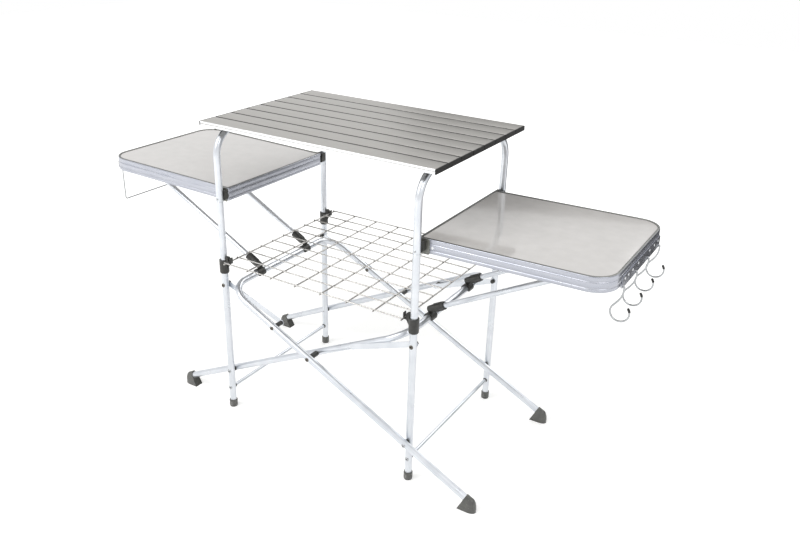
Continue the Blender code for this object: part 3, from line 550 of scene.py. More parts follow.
def turned(profile, place, sides=TUBE_SIDES):
    """A turned or moulded round piece from its (radius, height) profile along Z, carried to its place."""
    return loft([[place @ (v + Vector((0, 0, z))) for v in circle(r, sides)] for r, z in profile])


def pressed(outline, thickness, place, edge=EDGE):
    """A flat piece of an outline in the XY plane, half its thickness each side, with broken edges. The edges
    are broken in metres, as some corners come out otherwise in millimetres."""
    rings = [[Vector((x, y, z)) * MM for x, y in outline] for z in (-thickness / 2, thickness / 2)]
    bm = loft(rings)
    caps = [face for face in bm.faces if len(face.verts) == len(outline)]
    rims = {rim for face in caps for rim in face.edges}
    bmesh.ops.bevel(bm, geom=list(rims), offset=edge * MM, segments=2, affect="EDGES", clamp_overlap=True)
    bm.transform(place @ Matrix.Scale(1 / MM, 4))
    return bm


def upright_plane(spot, angle=0):
    """The matrix that stands an outline of (x, z) points up at a spot, turned by an angle in its plane."""
    turn = Matrix.Rotation(-angle, 4, "Y") @ Matrix.Rotation(math.pi / 2, 4, "X")
    return Matrix.Translation(spot) @ turn


def standing(outline, y, thickness, edge=EDGE):
    """A flat piece of an outline of (x, z) points that stands at this Y."""
    return pressed(outline, thickness, upright_plane((0, y, 0)), edge)


def cross_plane(x):
    """The matrix that stands an outline of (y, z) points up in the YZ plane at this X."""
    return Matrix.Translation((x, 0, 0)) @ Matrix(((0, 0, 1, 0), (1, 0, 0, 0), (0, 1, 0, 0), (0, 0, 0, 1)))


def rectangle(left, low, right, high):
    """The corners of a rectangle, from the lower left one on against the clock."""
    return [(left, low), (right, low), (right, high), (left, high)]


def corner_arc(before, corner, after, radius, steps):
    """Points of the arc that rounds one corner of a path."""
    back = (before - corner).normalized()
    ahead = (after - corner).normalized()
    turn = math.pi - back.angle(ahead)
    centre = corner + (back + ahead).normalized() * radius / math.cos(turn / 2)
    spoke = corner + back * radius * math.tan(turn / 2) - centre
    axis = (-back).cross(ahead)
    return [centre + Matrix.Rotation(turn * i / steps, 3, axis) @ spoke for i in range(steps + 1)]


def bent(points, radius, steps=BEND_STEPS):
    """An open path with each inner corner rounded."""
    points = [Vector(point) for point in points]
    path = [points[0]]
    for before, corner, after in zip(points, points[1:], points[2:]):
        path += corner_arc(before, corner, after, radius, steps)
    return path + [points[-1]]


def rounded(corners, radii, steps=6):
    """A closed flat outline with each corner rounded by its own radius."""
    corners = [Vector((*corner, 0)) for corner in corners]
    outline = []
    for i, (corner, radius) in enumerate(zip(corners, radii)):
        if radius:
            after = corners[(i + 1) % len(corners)]
            outline += [(p.x, p.y) for p in corner_arc(corners[i - 1], corner, after, radius, steps)]
        else:
            outline.append((corner.x, corner.y))
    return outline


def arc(centre, radius, first, last, steps):
    """Flat points on an arc between two angles in degrees."""
    angles = [math.radians(first + (last - first) * i / steps) for i in range(steps + 1)]
    return [(centre[0] + radius * math.cos(a), centre[1] + radius * math.sin(a)) for a in angles]


def dress(node, *parts, place=Matrix.Identity(4)):
    """Show these (shape, finish) parts as one piece in place of a node, riding on the node's body."""
    mesh = bpy.data.meshes.new(f"{node}_dressed")
    whole = bmesh.new()
    surfaces = []
    for shape, surface in parts:
        if surface not in surfaces:
            surfaces.append(surface)
        for face in shape.faces:
            face.material_index = surfaces.index(surface)
        scrap = bpy.data.meshes.new("part")
        shape.to_mesh(scrap)
        shape.free()
        whole.from_mesh(scrap)
        bpy.data.meshes.remove(scrap)
    whole.to_mesh(mesh)
    whole.free()
    mesh.transform(CENTRING @ Matrix.Scale(MM, 4) @ place)
    for surface in surfaces:
        mesh.materials.append(surface)
    mesh.shade_smooth()
    mesh.set_sharp_from_angle(angle=SHARP_ANGLE)
    piece = bpy.data.objects.new(f"{node}_dressed", mesh)
    bpy.context.scene.collection.objects.link(piece)
    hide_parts(node)
    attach(piece, BODY_OF[node])
    return piece


def label_of(y):
    """The name of the side of the table that a piece is on."""
    return "front" if y < 0 else "back"


def rivet(spot, side):
    """A tubular rivet head with its hollow middle, standing on a face that looks to the front or back."""
    profile = (
        (HEAD_R * 0.8, -HEAD_HEIGHT),
        (HEAD_R, 0.1 * HEAD_HEIGHT),
        (HEAD_R * 0.9, 0.6 * HEAD_HEIGHT),
        (HEAD_R * 0.6, HEAD_HEIGHT),
        (RIVET_EYE_R * 1.2, HEAD_HEIGHT),
        (RIVET_EYE_R, HEAD_HEIGHT * 0.8),
        (RIVET_EYE_R * 0.9, 0),
    )
    return turned(profile, toward(spot, (0, side, 0)), RIVET_SIDES)


# The stand


def make_leg_frame(end, turn):
    """Two lower legs with their spigots, and the bottom rail riveted between them."""
    parts = []
    for side in SIDES:
        y = side * UPRIGHT_Y
        parts.append((tube([(UPRIGHT_X, y, FOOT_TUBE_Z), (UPRIGHT_X, y, JOINT_Z)], TUBE_R), ANODISED_TUBE))
        spigot = [(UPRIGHT_X, y, JOINT_Z - TUBE_R), (UPRIGHT_X, y, JOINT_Z + SPIGOT_LENGTH)]
        parts.append((tube(spigot, SPIGOT_R), ANODISED_TUBE))
        parts.append((rivet((UPRIGHT_X, y + side * TUBE_R, RAIL_Z), side), CHROME))
        seat = toward((UPRIGHT_X, y - side * (TUBE_R - RAIL_SEAT_SUNK), RAIL_Z), (0, -side, 0))
        wall = RAIL_R + RAIL_SEAT_WALL
        profile = ((wall, 0), (wall, RAIL_SEAT_HEIGHT / 2), (RAIL_R, RAIL_SEAT_HEIGHT))
        parts.append((turned(profile, seat), MOULDED_NYLON))
    rail = [(UPRIGHT_X, -UPRIGHT_Y, RAIL_Z), (UPRIGHT_X, UPRIGHT_Y, RAIL_Z)]
    parts.append((tube(rail, RAIL_R), ANODISED_TUBE))
    dress(f"{end}_leg_frame", *parts, place=turn)


def make_foot_caps(end, turn):
    """Ribbed caps on the lower ends of the uprights."""
    lip = TUBE_R + FIT
    groove = CAP_R - CAP_GROOVE
    profile = [(CAP_R - 1.4, 0), (CAP_R - 0.4, 0.8)]
    for number in range(1, CAP_RIBS + 1):
        low = number * CAP_RIB_PITCH
        high = low + CAP_RIB_WIDTH
        profile += [(CAP_R, low), (CAP_R, high)]
        profile += [(groove, high + CAP_GROOVE), (groove, low + CAP_RIB_PITCH - CAP_GROOVE)]
    profile += [(CAP_R, (CAP_RIBS + 1) * CAP_RIB_PITCH), (CAP_R, CAP_HEIGHT - 1.2)]
    profile += [(CAP_R - 0.8, CAP_HEIGHT), (lip, CAP_HEIGHT), (lip, CAP_HEIGHT - 3)]
    for side in SIDES:
        spot = turn @ Vector((UPRIGHT_X, side * UPRIGHT_Y, 0))
        dress(f"{end}_foot_cap_{label_of(spot.y)}", (turned(profile, Matrix.Translation(spot)), MOULDED_PVC))


def leg_z(x):
    """Height of the crossed leg's axis whose foot is to the right."""
    return CENTRE_PIVOT_Z - LEG_SLOPE * x


def make_cross_frame(name, turn):
    """One bent tube with its pins, washers, spacer and tubular rivets, bright at the uprights."""
    near = -OUTER_LEG_Y
    far = INNER_LEG_Y
    corners = ((FOOT_END_X, near), (-CROSS_TUBE_X, near), (-CROSS_TUBE_X, far), (FOOT_END_X, far))
    route = [(x, y, leg_z(x)) for x, y in corners]
    near_seat = near + TUBE_R / 2
    far_seat = far + TUBE_R / 2
    upright_out = UPRIGHT_Y + TUBE_R
    upright_in = UPRIGHT_Y - TUBE_R
    link_x = -LINK_LEG_X
    link_front = -LINK_PLANE_Y - LINK_THICKNESS / 2 - FIT
    pins = (
        (UPRIGHT_X, near, -upright_in, PIN_R, CHROME),
        (UPRIGHT_X, near_seat, -upright_out - FIT, WASHER_R, MOULDED_NYLON),
        (UPRIGHT_X, far, upright_out + FIT, PIN_R, CHROME),
        (UPRIGHT_X, far_seat, upright_in - FIT, WASHER_R, MOULDED_NYLON),
        (0, near, -far + TUBE_R / 2, PIN_R, CHROME),
        (0, near_seat, -far - TUBE_R - FIT, WASHER_R, MOULDED_NYLON),
        (link_x, near_seat, link_front, SPACER_R, MOULDED_NYLON),
    )
    parts = [(tube(bent(route, FRAME_BEND_R), TUBE_R), ANODISED_TUBE)]
    for x, start, stop, radius, surface in pins:
        parts.append((tube([(x, start, leg_z(x)), (x, stop, leg_z(x))], radius), surface))
    near_face = near - TUBE_R
    heads = [(UPRIGHT_X, near_face, -1), (0, near_face, -1), (UPRIGHT_X, upright_out + FIT, 1)]
    heads += [(link_x, near_face, -1), (link_x, far - TUBE_R, -1)]
    for x, y, side in heads:
        parts.append((rivet((x, y, leg_z(x)), side), CHROME if x == UPRIGHT_X else BURNISHED_STEEL))
    dress(name, *parts, place=turn)


def shoe_shape(y):
    """A wedge shoe with an arched back that flares to the floor and a rounded nose."""
    slope = math.atan(LEG_SLOPE)
    along = Vector((math.cos(slope), -math.sin(slope)))
    up = Vector((math.sin(slope), math.cos(slope)))
    back = Vector((FOOT_END_X, leg_z(FOOT_END_X))) - along * SHOE_COVER
    top = back + up * SHOE_HALF
    heel = back - up * (back.y / up.y)
    rings = []
    for i in range(SHOE_STATIONS + 1):
        share = math.sin(math.pi / 2 * i / SHOE_STATIONS)
        crest = top + along * ((SHOE_TOE_X - top.x) / along.x) * share
        sole = Vector((heel.x + (SHOE_TOE_X - heel.x) * share, 0))
        nose = max(0.0, (share - SHOE_NOSE_START) / (1 - SHOE_NOSE_START))
        shrink = math.sqrt(max(1 - nose**SHOE_NOSE_POWER, SHOE_NOSE_WIDTH**2))
        crest = sole + (crest - sole) * (SHOE_NOSE_HEIGHT + (1 - SHOE_NOSE_HEIGHT) * shrink)
        ring = []
        for k in range(SHOE_STEPS + 1):
            angle = math.pi * k / SHOE_STEPS
            wide = math.copysign(abs(math.cos(angle)) ** SHOE_WIDTH_POWER, math.cos(angle))
            spot = sole + (crest - sole) * math.sin(angle) ** SHOE_HEIGHT_POWER
            ring.append(Vector((spot.x, y + SHOE_HALF * shrink * wide, max(spot.y, 0))))
        rings.append(ring)
    return loft(rings)


def make_shoes(name, turn):
    """Wedge shoes on the two floor ends of a crossed frame, each with a lip round the tube."""
    slope = math.atan(LEG_SLOPE)
    along = Vector((math.cos(slope), 0, -math.sin(slope)))
    end = Vector((FOOT_END_X, 0, leg_z(FOOT_END_X))) - along * (SHOE_COVER + SHOE_LIP_PROUD)
    wall = TUBE_R + SHOE_LIP_WALL
    profile = ((TUBE_R + FIT, 0), (wall - 0.3, 0), (wall, SHOE_LIP_PROUD), (wall, 2))
    for y in (-OUTER_LEG_Y, INNER_LEG_Y):
        lip = turned(profile, toward(end + Vector((0, y, 0)), along))
        spot = turn @ Vector((0, y, 0))
        dress(f"{name}_{label_of(spot.y)}", (shoe_shape(y), MOULDED_PVC), (lip, MOULDED_PVC), place=turn)


def make_shelf_clips(end, turn):
    """Collars on the lower legs with an open hook for the shelf's edge wire."""
    slot = SHELF_WIRE_R + FIT
    inner = SHELF_HALF_X - slot - SHELF_ARM_WALL
    low = SHELF_Z - slot - SHELF_ARM_WALL
    root = UPRIGHT_X - TUBE_R - FIT
    bore = TUBE_R + FIT
    wall = SHELF_CLIP_R
    base = SHELF_CLIP_LOW
    crown = SHELF_CLIP_HIGH
    profile = [(bore, base), (wall - 1.5, base), (wall - 0.6, base + 0.8), (wall, base + 3)]
    profile += [(wall, crown - 1), (wall - 0.8, crown), (bore, crown)]
    tip = SHELF_CLIP_TIP
    arm = [(root, low), (inner + 2.5, low), (inner + 0.7, low + 0.9), (inner, low + 3), (inner, tip - 1.5)]
    arm += [(inner + 1.2, tip), (inner + 2.3, tip), (SHELF_HALF_X - slot, tip - 1.5)]
    arm += arc((SHELF_HALF_X, SHELF_Z), slot, 180, 360, 10)
    arm += [(SHELF_HALF_X + slot, tip - 4), (SHELF_HALF_X + slot + 2, tip), (root, tip)]
    web_top = low + 1
    web = [(root, base + SHELF_WEB_START), (root, web_top), (inner + SHELF_WEB_REACH, web_top)]
    for side in SIDES:
        y = side * UPRIGHT_Y
        collar = turned(profile, Matrix.Translation((UPRIGHT_X, y, 0)))
        hook = standing(arm, y, 2 * SHELF_ARM_HALF)
        fin = standing(web, y, SHELF_WEB_THICKNESS, THIN_EDGE)
        spot = turn @ Vector((UPRIGHT_X, y, 0))
        parts = [(shape, MOULDED_NYLON) for shape in (collar, hook, fin)]
        dress(f"{end}_shelf_clip_{label_of(spot.y)}", *parts, place=turn)


def make_link(name, corner, leg_x):
    """A flat link with its pin through the upright, a rivet outside and a knob inside."""
    x, side = corner
    plane = side * LINK_PLANE_Y
    top = Vector((x, LINK_TOP_Z))
    leg = Vector((leg_x, CENTRE_PIVOT_Z + LEG_SLOPE * abs(leg_x)))
    reach = (leg - top).length
    angle = math.atan2(leg.y - top.y, leg.x - top.x)
    outline = arc((0, 0), LINK_HALF_WIDTH, 90, 270, 14) + arc((reach, 0), LINK_HALF_WIDTH, -90, 90, 14)
    place = upright_plane((x, plane, LINK_TOP_Z), angle)
    out = side * (UPRIGHT_Y + TUBE_R + FIT)
    knob = [(KNOB_R * 0.8, 0), (KNOB_R, 1), (KNOB_R, 3), (KNOB_R * 0.9, KNOB_LENGTH - 1.5)]
    knob += [(KNOB_R * 0.7, KNOB_LENGTH - 0.3), (KNOB_R * 0.4, KNOB_LENGTH)]
    knob_spot = (x, plane - side * LINK_THICKNESS / 2, LINK_TOP_Z)
    dress(
        name,
        (pressed(outline, LINK_THICKNESS, place, THIN_EDGE), ANODISED_TUBE),
        (tube([(x, plane, LINK_TOP_Z), (x, out, LINK_TOP_Z)], PIN_R), CHROME),
        (rivet((x, out, LINK_TOP_Z), side), BURNISHED_STEEL),
        (turned(knob, toward(knob_spot, (0, -side, 0))), MOULDED_NYLON),
    )


def make_upper_frame(end, turn):
    """A bent tube that stands on two lower legs and runs under the slats."""
    low = JOINT_Z + FIT
    corners = ((-UPRIGHT_Y, low), (-UPRIGHT_Y, UPPER_TUBE_Z), (UPRIGHT_Y, UPPER_TUBE_Z), (UPRIGHT_Y, low))
    route = [(UPRIGHT_X, y, z) for y, z in corners]
    dress(f"{end}_upper_frame", (tube(bent(route, UPPER_BEND_R), TUBE_R), ANODISED_TUBE), place=turn)


def make_buttons(end, turn):
    """Domed snap buttons that stand out of the upper frame's tubes."""
    profile = ((BUTTON_R, -3), (BUTTON_R, 0.6 * BUTTON_PROUD), (BUTTON_R * 0.85, 0.85 * BUTTON_PROUD))
    profile += ((BUTTON_R * 0.5, BUTTON_PROUD),)
    for side in SIDES:
        face = Vector((UPRIGHT_X, side * (UPRIGHT_Y + TUBE_R), BUTTON_Z))
        spot = turn @ face
        dress(
            f"{end}_snap_button_{label_of(spot.y)}",
            (turned(profile, toward(face, (0, side, 0)), STUD_SIDES), CHROME),
            place=turn,
        )


def make_receivers(end, turn):
    """Blocks on the upper frame with two prongs and the boss that a tray's corner plate hooks on."""
    boss = TRAY_FRAME @ Vector((CORNER_PLATE_START, 0, -NOTCH_DEPTH_Z))
    inner_y = TRAY_HALF_WIDTH + CORNER_PLATE_THICKNESS + FIT
    outer_y = UPRIGHT_Y - TUBE_R + RECEIVER_WRAP
    wide = RECEIVER_HALF_X
    valley = (RECEIVER_VALLEY_HALF, RECEIVER_HIGH - RECEIVER_VALLEY_DEPTH)
    right = [(wide, RECEIVER_LOW), (wide, RECEIVER_HIGH), (RECEIVER_PRONG_X, RECEIVER_HIGH), valley]
    left = [(-x, z) for x, z in right[::-1]]
    corners = [(UPRIGHT_X + x, z) for x, z in left[-1:] + right + left[:-1]]
    outline = rounded(corners, (5, 5, 1.2, 1, 1.5, 1.5, 1, 1.2))
    for side in SIDES:
        block = standing(outline, side * (inner_y + outer_y) / 2, outer_y - inner_y)
        ends = [(boss.x, side * y, boss.z) for y in (inner_y + 3, TRAY_HALF_WIDTH + FIT)]
        peg = tube(ends, NOTCH_R - FIT)
        spot = turn @ Vector((UPRIGHT_X, side, 0))
        parts = [(block, MOULDED_NYLON), (peg, MOULDED_NYLON)]
        dress(f"{end}_tray_receiver_{label_of(spot.y)}", *parts, place=turn)


# The roll top


def slat_edge(index):
    """Y of the line between two slats, counted from the front."""
    return (index - SLAT_COUNT / 2) * SLAT_PITCH


def slat_section(front, back, front_seam, back_seam):
    """Section of a slat: an upside-down channel with inturned flanges and a rebate at each seam."""
    low = SLAT_BOTTOM
    top = TOP_HEIGHT
    ledge = top - SEAM_DEPTH
    wall = SLAT_WALL
    front_side = [(0, low), (0, ledge), (front_seam, ledge), (front_seam, top)]
    back_side = [(0, low), (0, ledge), (back_seam, ledge), (back_seam, top)]
    hollow = [(wall, top - wall), (wall, low + wall), (SLAT_FLANGE, low + wall), (SLAT_FLANGE, low)]
    corners = [(front + y, z) for y, z in front_side]
    corners += [(back - y, z) for y, z in back_side[::-1] + hollow[::-1]]
    corners += [(front + y, z) for y, z in hollow]
    return rounded(corners, [SLAT_FOOT_R, 0, 0, SEAM_EDGE_R, SEAM_EDGE_R, 0, 0, SLAT_FOOT_R] + [0] * 8)


def along_x(outline, start, stop):
    """An outline of (y, z) points drawn out between two places on X."""
    return loft([[Vector((x, y, z)) for y, z in outline] for x in (start, stop)])


def slat_trims(front):
    """Sections of the two rounded bands of bright trim on the front slat's face."""
    foot = front + TRIM_DEPTH + TRIM_SUNK
    split = (SLAT_BOTTOM + TOP_HEIGHT) / 2
    trims = []
    for low, high in ((SLAT_BOTTOM, split - TRIM_SPLIT), (split + TRIM_SPLIT, TOP_HEIGHT - TRIM_DROP)):
        middle = (low + high) / 2
        reach = (high - low) / 2
        band = [(front + TRIM_ROUND * (1 + y), middle + reach * z) for y, z in arc((0, 0), 1, 270, 90, 10)]
        trims.append([*band, (foot, high), (foot, low)])
    return trims


def clip_outline(middle):
    """Outline of the clip under a slat."""
    top = SLAT_BOTTOM + CLIP_SUNK
    low = SLAT_BOTTOM - CLIP_DROP
    left = middle - CLIP_WIDTH / 2
    right = middle + CLIP_WIDTH / 2
    corners = [(left, top), (left, low), (right, low), (right, top)]
    return rounded(corners, (0, CLIP_CORNER_R, CLIP_CORNER_R, 0))


def make_slat(number):
    """One slat with its end caps and the dark strips of painted shade in its seams, the front one with its
    trim, and two with clips outside the upper frames."""
    front = slat_edge(number - 1) + SLAT_GAP / 2
    back = slat_edge(number) - SLAT_GAP / 2
    half = TOP_LENGTH / 2
    length = (-half + SLAT_CAP, half - SLAT_CAP)
    front_seam = SEAM_WIDTH if number > 1 else SLAT_PLAIN_EDGE
    back_seam = SEAM_WIDTH if number < SLAT_COUNT else SLAT_PLAIN_EDGE
    body_front = front + (TRIM_DEPTH if number == 1 else 0)
    body = along_x(slat_section(body_front, back, front_seam, back_seam), *length)
    ends = [face for face in body.faces if len(face.verts) > 4]
    bmesh.ops.triangulate(body, faces=ends, ngon_method="EAR_CLIP")
    parts = [(body, BRUSHED_SLAT)]
    # The dark strips laid in the seams' rebates are painted shade for the gaps between the slats.
    strips = []
    if number > 1:
        strips.append((front, front + SEAM_WIDTH))
    if number < SLAT_COUNT:
        strips.append((back - SEAM_WIDTH, back))
    low = TOP_HEIGHT - SEAM_DEPTH
    high = TOP_HEIGHT - SEAM_SUNK
    for near, far in strips:
        parts.append((along_x([(near, low), (near, high), (far, high), (far, low)], *length), BLACK_PLASTIC_AND_SEAM_SHADE))
    corners = [(front, SLAT_BOTTOM), (front, TOP_HEIGHT), (back, TOP_HEIGHT), (back, SLAT_BOTTOM)]
    cap = rounded(corners, (SLAT_FOOT_R, SLAT_EDGE_R, SLAT_EDGE_R, SLAT_FOOT_R))
    for side in SIDES:
        place = cross_plane(side * (half - SLAT_CAP / 2))
        parts.append((pressed(cap, SLAT_CAP, place, edge=0.4), BLACK_PLASTIC_AND_SEAM_SHADE))
    if number == 1:
        parts += [(along_x(section, *length), BRIGHT_TRIM) for section in slat_trims(front)]
    if number in CLIP_SLATS:
        clip = clip_outline((front + back) / 2)
        for side in SIDES:
            place = cross_plane(side * (UPRIGHT_X + TUBE_R + FIT + CLIP_THICKNESS / 2))
            parts.append((pressed(clip, CLIP_THICKNESS, place), BLACK_PLASTIC_AND_SEAM_SHADE))
    dress(f"slat_{number}", *parts)


# Shelf


def spread(count, half):
    """Evenly spaced places from -half to half."""
    return [half * (2 * i / (count - 1) - 1) for i in range(count)]


def make_shelf():
    """The welded wire grid: wires from front to back, and others laid across them and sunk in by the weld."""
    across_z = SHELF_Z + SHELF_WIRE_R + SHELF_CROSS_WIRE_R - SHELF_WELD_SUNK
    parts = []
    for x in spread(SHELF_LONG_WIRES, SHELF_HALF_X):
        ends = [(x, -SHELF_HALF_Y, SHELF_Z), (x, SHELF_HALF_Y, SHELF_Z)]
        parts.append((tube(ends, SHELF_WIRE_R, WIRE_SIDES), NICKEL_WIRE))
    for y in spread(SHELF_CROSS_WIRES, SHELF_HALF_Y - 2 * SHELF_WIRE_R):
        reach = SHELF_HALF_X + SHELF_WIRE_R
        ends = [(-reach, y, across_z), (reach, y, across_z)]
        parts.append((tube(ends, SHELF_CROSS_WIRE_R, WIRE_SIDES), NICKEL_WIRE))
    dress("wire_shelf", *parts)


# Trays


def tray_outline(inset):
    """The tray's outline drawn in by inset, square at the inner edge and well rounded at the outer one."""
    half = TRAY_HALF_WIDTH - inset
    corners = rectangle(inset, -half, TRAY_LENGTH - inset, half)
    tight = max(TRAY_INNER_R - inset, 0.6)
    wide = TRAY_OUTER_R - inset
    return rounded(corners, (tight, wide, wide, tight), steps=14)


def rim_section():
    """Section of the rim's extrusion as (inset, depth): lip, three bands with two grooves, wall and ledge."""
    lip = [(RIM_LIP_WIDTH, 1.2), (RIM_LIP_WIDTH, 0.6), (5.6, 0.3), (1.4, 0.3), (0.8, 0.5), (0.2, 1.2)]
    bands = [(0, 3), (0, 8.5), (0.2, 10.2), (0.9, 10.8), (0.9, 12.2), (0.3, 12.8), (0, 15), (0, 22.8)]
    bands += [(0.3, 25), (0.9, 25.8), (0.9, 27.2), (0.2, 27.9), (0, 29), (0, 33.6)]
    foot = TRAY_RIM_HEIGHT
    ledge = LEDGE_TOP + RIM_LEDGE_THICKNESS
    inner = [(0.5, foot - 0.2), (1.3, foot), (2.2, foot - 0.2), (RIM_WALL, foot - 1), (RIM_WALL, ledge)]
    inner += [(RIM_LEDGE_WIDTH, ledge), (RIM_LEDGE_WIDTH, LEDGE_TOP), (RIM_WALL, LEDGE_TOP), (RIM_WALL, 1.2)]
    return lip + bands + inner


def lip_section():
    """Section of the lip's edging as (inset, depth): a thin rounded band laid on the rim."""
    section = [(6.1, 1.3), (6.2, 0.6), (5.8, 0.1), (5.2, 0.0), (1.6, 0.0), (1.0, 0.15), (0.8, 0.6)]
    return section + [(3.0, 0.9), (5.0, 1.1)]


def make_panel(end, place):
    """The laminate panel with a slightly eased edge."""
    inset = RIM_WALL + FIT
    bottom = -PANEL_TOP - PANEL_THICKNESS
    levels = ((inset, bottom), (inset, -PANEL_TOP - EDGE), (inset + EDGE, -PANEL_TOP))
    rings = [[Vector((x, y, z)) for x, y in tray_outline(drawn_in)] for drawn_in, z in levels]
    dress(f"{end}_tray_panel", (loft(rings), LAMINATE), place=place)


def strut_offsets():
    """Y of the two struts under the right tray."""
    return (LEG_OFFSET - STRUT_SPACING / 2, LEG_OFFSET + STRUT_SPACING / 2)


def corner_plates():
    """The notched plates at the rim's inner corners, with a stud beside each."""
    start = CORNER_PLATE_START
    stop = start + CORNER_PLATE_LENGTH
    low = -CORNER_PLATE_HEIGHT
    high = -CORNER_PLATE_DROP
    chamfer = CORNER_PLATE_CHAMFER
    outline = [(start, low), (stop - chamfer, low), (stop, low + chamfer), (stop, -chamfer)]
    outline += [(stop - 1.6, high), (start, high), *arc((start, -NOTCH_DEPTH_Z), NOTCH_R, 90, -90, 14)]
    stud = ((3.2, -1), (3.2, 0.4), (2.4, 0.9), (1, 1.1))
    thickness = CORNER_PLATE_THICKNESS + CORNER_PLATE_SUNK
    parts = []
    for side in SIDES:
        middle = side * (TRAY_HALF_WIDTH + (CORNER_PLATE_THICKNESS - CORNER_PLATE_SUNK) / 2)
        parts.append((standing(outline, middle, thickness, THIN_EDGE), ZINC_PLATE))
        spot = (stop + STUD_OUT, side * TRAY_HALF_WIDTH, -STUD_DOWN)
        parts.append((turned(stud, toward(spot, (0, side, 0))), BRIGHT_TRIM))
    return parts


def strut_brackets():
    """The bar across a rim and the lugs that hold the struts' pins."""
    inside = TRAY_HALF_WIDTH - RIM_WALL
    near = STRUT_PIVOT_OUT - CLEVIS_HALF_LENGTH
    far = STRUT_PIVOT_OUT + CLEVIS_HALF_LENGTH
    low = -STRUT_PIVOT_DOWN - CLEVIS_HALF_LENGTH
    high = -LEDGE_TOP - CROSS_BAR_THICKNESS / 2
    place = Matrix.Translation((0, 0, high))
    bar = pressed(rectangle(near, -inside, far, inside), CROSS_BAR_THICKNESS, place, edge=0.4)
    parts = [(bar, ANODISED_RIM)]
    bend = CLEVIS_HALF_LENGTH * 0.98
    lug = rounded([(near, high), (near, low), (far, low), (far, high)], (0, bend, bend, 0))
    for y in strut_offsets():
        for side in SIDES:
            middle = y + side * (STRUT_R + 2 * FIT + CLEVIS_THICKNESS / 2)
            parts.append((standing(lug, middle, CLEVIS_THICKNESS, THIN_EDGE), ANODISED_RIM))
    return parts


def bail_ears():
    """The two ears at the left tray's outer end that hold the towel bail."""
    near = TRAY_LENGTH - EAR_ROOT
    far = TRAY_LENGTH + BAIL_OUT + EAR_HALF
    low = -BAIL_DROP - EAR_HALF
    high = -BAIL_DROP + EAR_HEIGHT
    corners = [(near, high), (near, low), (far, low), (far, high)]
    ear = rounded(corners, (2, 4.6, 4.6, 2))
    parts = []
    for side in SIDES:
        middle = side * (EAR_Y + EAR_THICKNESS / 2)
        parts.append((standing(ear, middle, EAR_THICKNESS, edge=0.4), MOULDED_NYLON))
    return parts


def make_rim(end, place):
    """The grooved rim and its dark lip, with corner plates and strut brackets, and the left one's ears."""
    parts = []
    for section, surface in ((rim_section(), ANODISED_RIM), (lip_section(), DARK_EDGING)):
        rings = [[Vector((x, y, -depth)) for x, y in tray_outline(inset)] for inset, depth in section]
        parts.append((loft(rings, loop=True), surface))
    parts += corner_plates() + strut_brackets()
    if end == "left":
        parts += bail_ears()
    dress(f"{end}_tray_rim", *parts, place=place)


def strut_parts(low, top, along):
    """A strut with the pin through its bracket."""
    half_pin = Vector((0, STRUT_R + 2 * FIT + CLEVIS_THICKNESS, 0))
    bar = tube([low + along * SOCKET_SEAT, top + along * STRUT_R], STRUT_R, edge=1.5)
    parts = [(bar, ANODISED_TUBE), (tube([top - half_pin, top + half_pin], PIN_R), CHROME)]
    pin_head = ((PIN_R * 1.6, -0.2), (PIN_R * 1.6, 0.4), (PIN_R * 0.9, 1))
    for side in SIDES:
        parts.append((turned(pin_head, toward(top + half_pin * side, (0, side, 0))), CHROME))
    return parts


def socket_parts(low, along):
    """A ribbed sleeve round a strut's foot, and the jaw under it that snaps on the cross tube."""
    root = SOCKET_R * 0.80
    waist = SOCKET_R * 0.84
    mouth = SOCKET_LENGTH
    sleeve = [(root, SOCKET_START), (SOCKET_R * 0.88, SOCKET_START + 5), (SOCKET_R * 0.90, 12), (waist, 14)]
    sleeve += [(waist, 30), (SOCKET_R * 0.90, 34), (SOCKET_R * 0.96, mouth - 3), (SOCKET_R, mouth - 0.6)]
    sleeve += [(SOCKET_R - EDGE, mouth), (STRUT_R + FIT, mouth)]
    shapes = [turned(sleeve, toward(low, along))]
    rib = [(RIB_START, root), (RIB_END - RIB_TAPER, root)]
    rib += [(RIB_END, SOCKET_R), (RIB_START + RIB_TAPER, SOCKET_R)]
    lower_rib = [(x, -z) for x, z in rib[::-1]]
    angle = math.atan2(along.z, along.x)
    for side in SIDES:
        place = upright_plane(low + Vector((0, side * RIB_OFFSET, 0)), angle)
        shapes += [pressed(outline, RIB_THICKNESS, place, THIN_EDGE) for outline in (lower_rib, rib)]
    jaw = arc((0, 0), JAW_R, -JAW_OUTER_DIP, 180 + JAW_OUTER_DIP, 30)
    jaw += arc((0, 0), TUBE_R + FIT, 180 + JAW_INNER_DIP, -JAW_INNER_DIP, 30)
    place = upright_plane((CROSS_TUBE_X, low.y, CROSS_TUBE_Z))
    shapes.append(pressed(jaw, 2 * JAW_HALF_WIDTH, place, edge=0.6))
    return [(shape, MOULDED_NYLON) for shape in shapes]


def make_struts(end, turn):
    """Two struts from a tray's brackets down to sockets that snap on a cross tube."""
    for y in strut_offsets():
        low = Vector((CROSS_TUBE_X, y, CROSS_TUBE_Z + STRUT_RISE))
        top = TRAY_FRAME @ Vector((STRUT_PIVOT_OUT, y, -STRUT_PIVOT_DOWN))
        along = (top - low).normalized()
        label = label_of((turn @ low).y)
        dress(f"{end}_strut_{label}", *strut_parts(low, top, along), place=turn)
        dress(f"{end}_strut_socket_{label}", *socket_parts(low, along), place=turn)


# Hook strip, hooks and towel bail


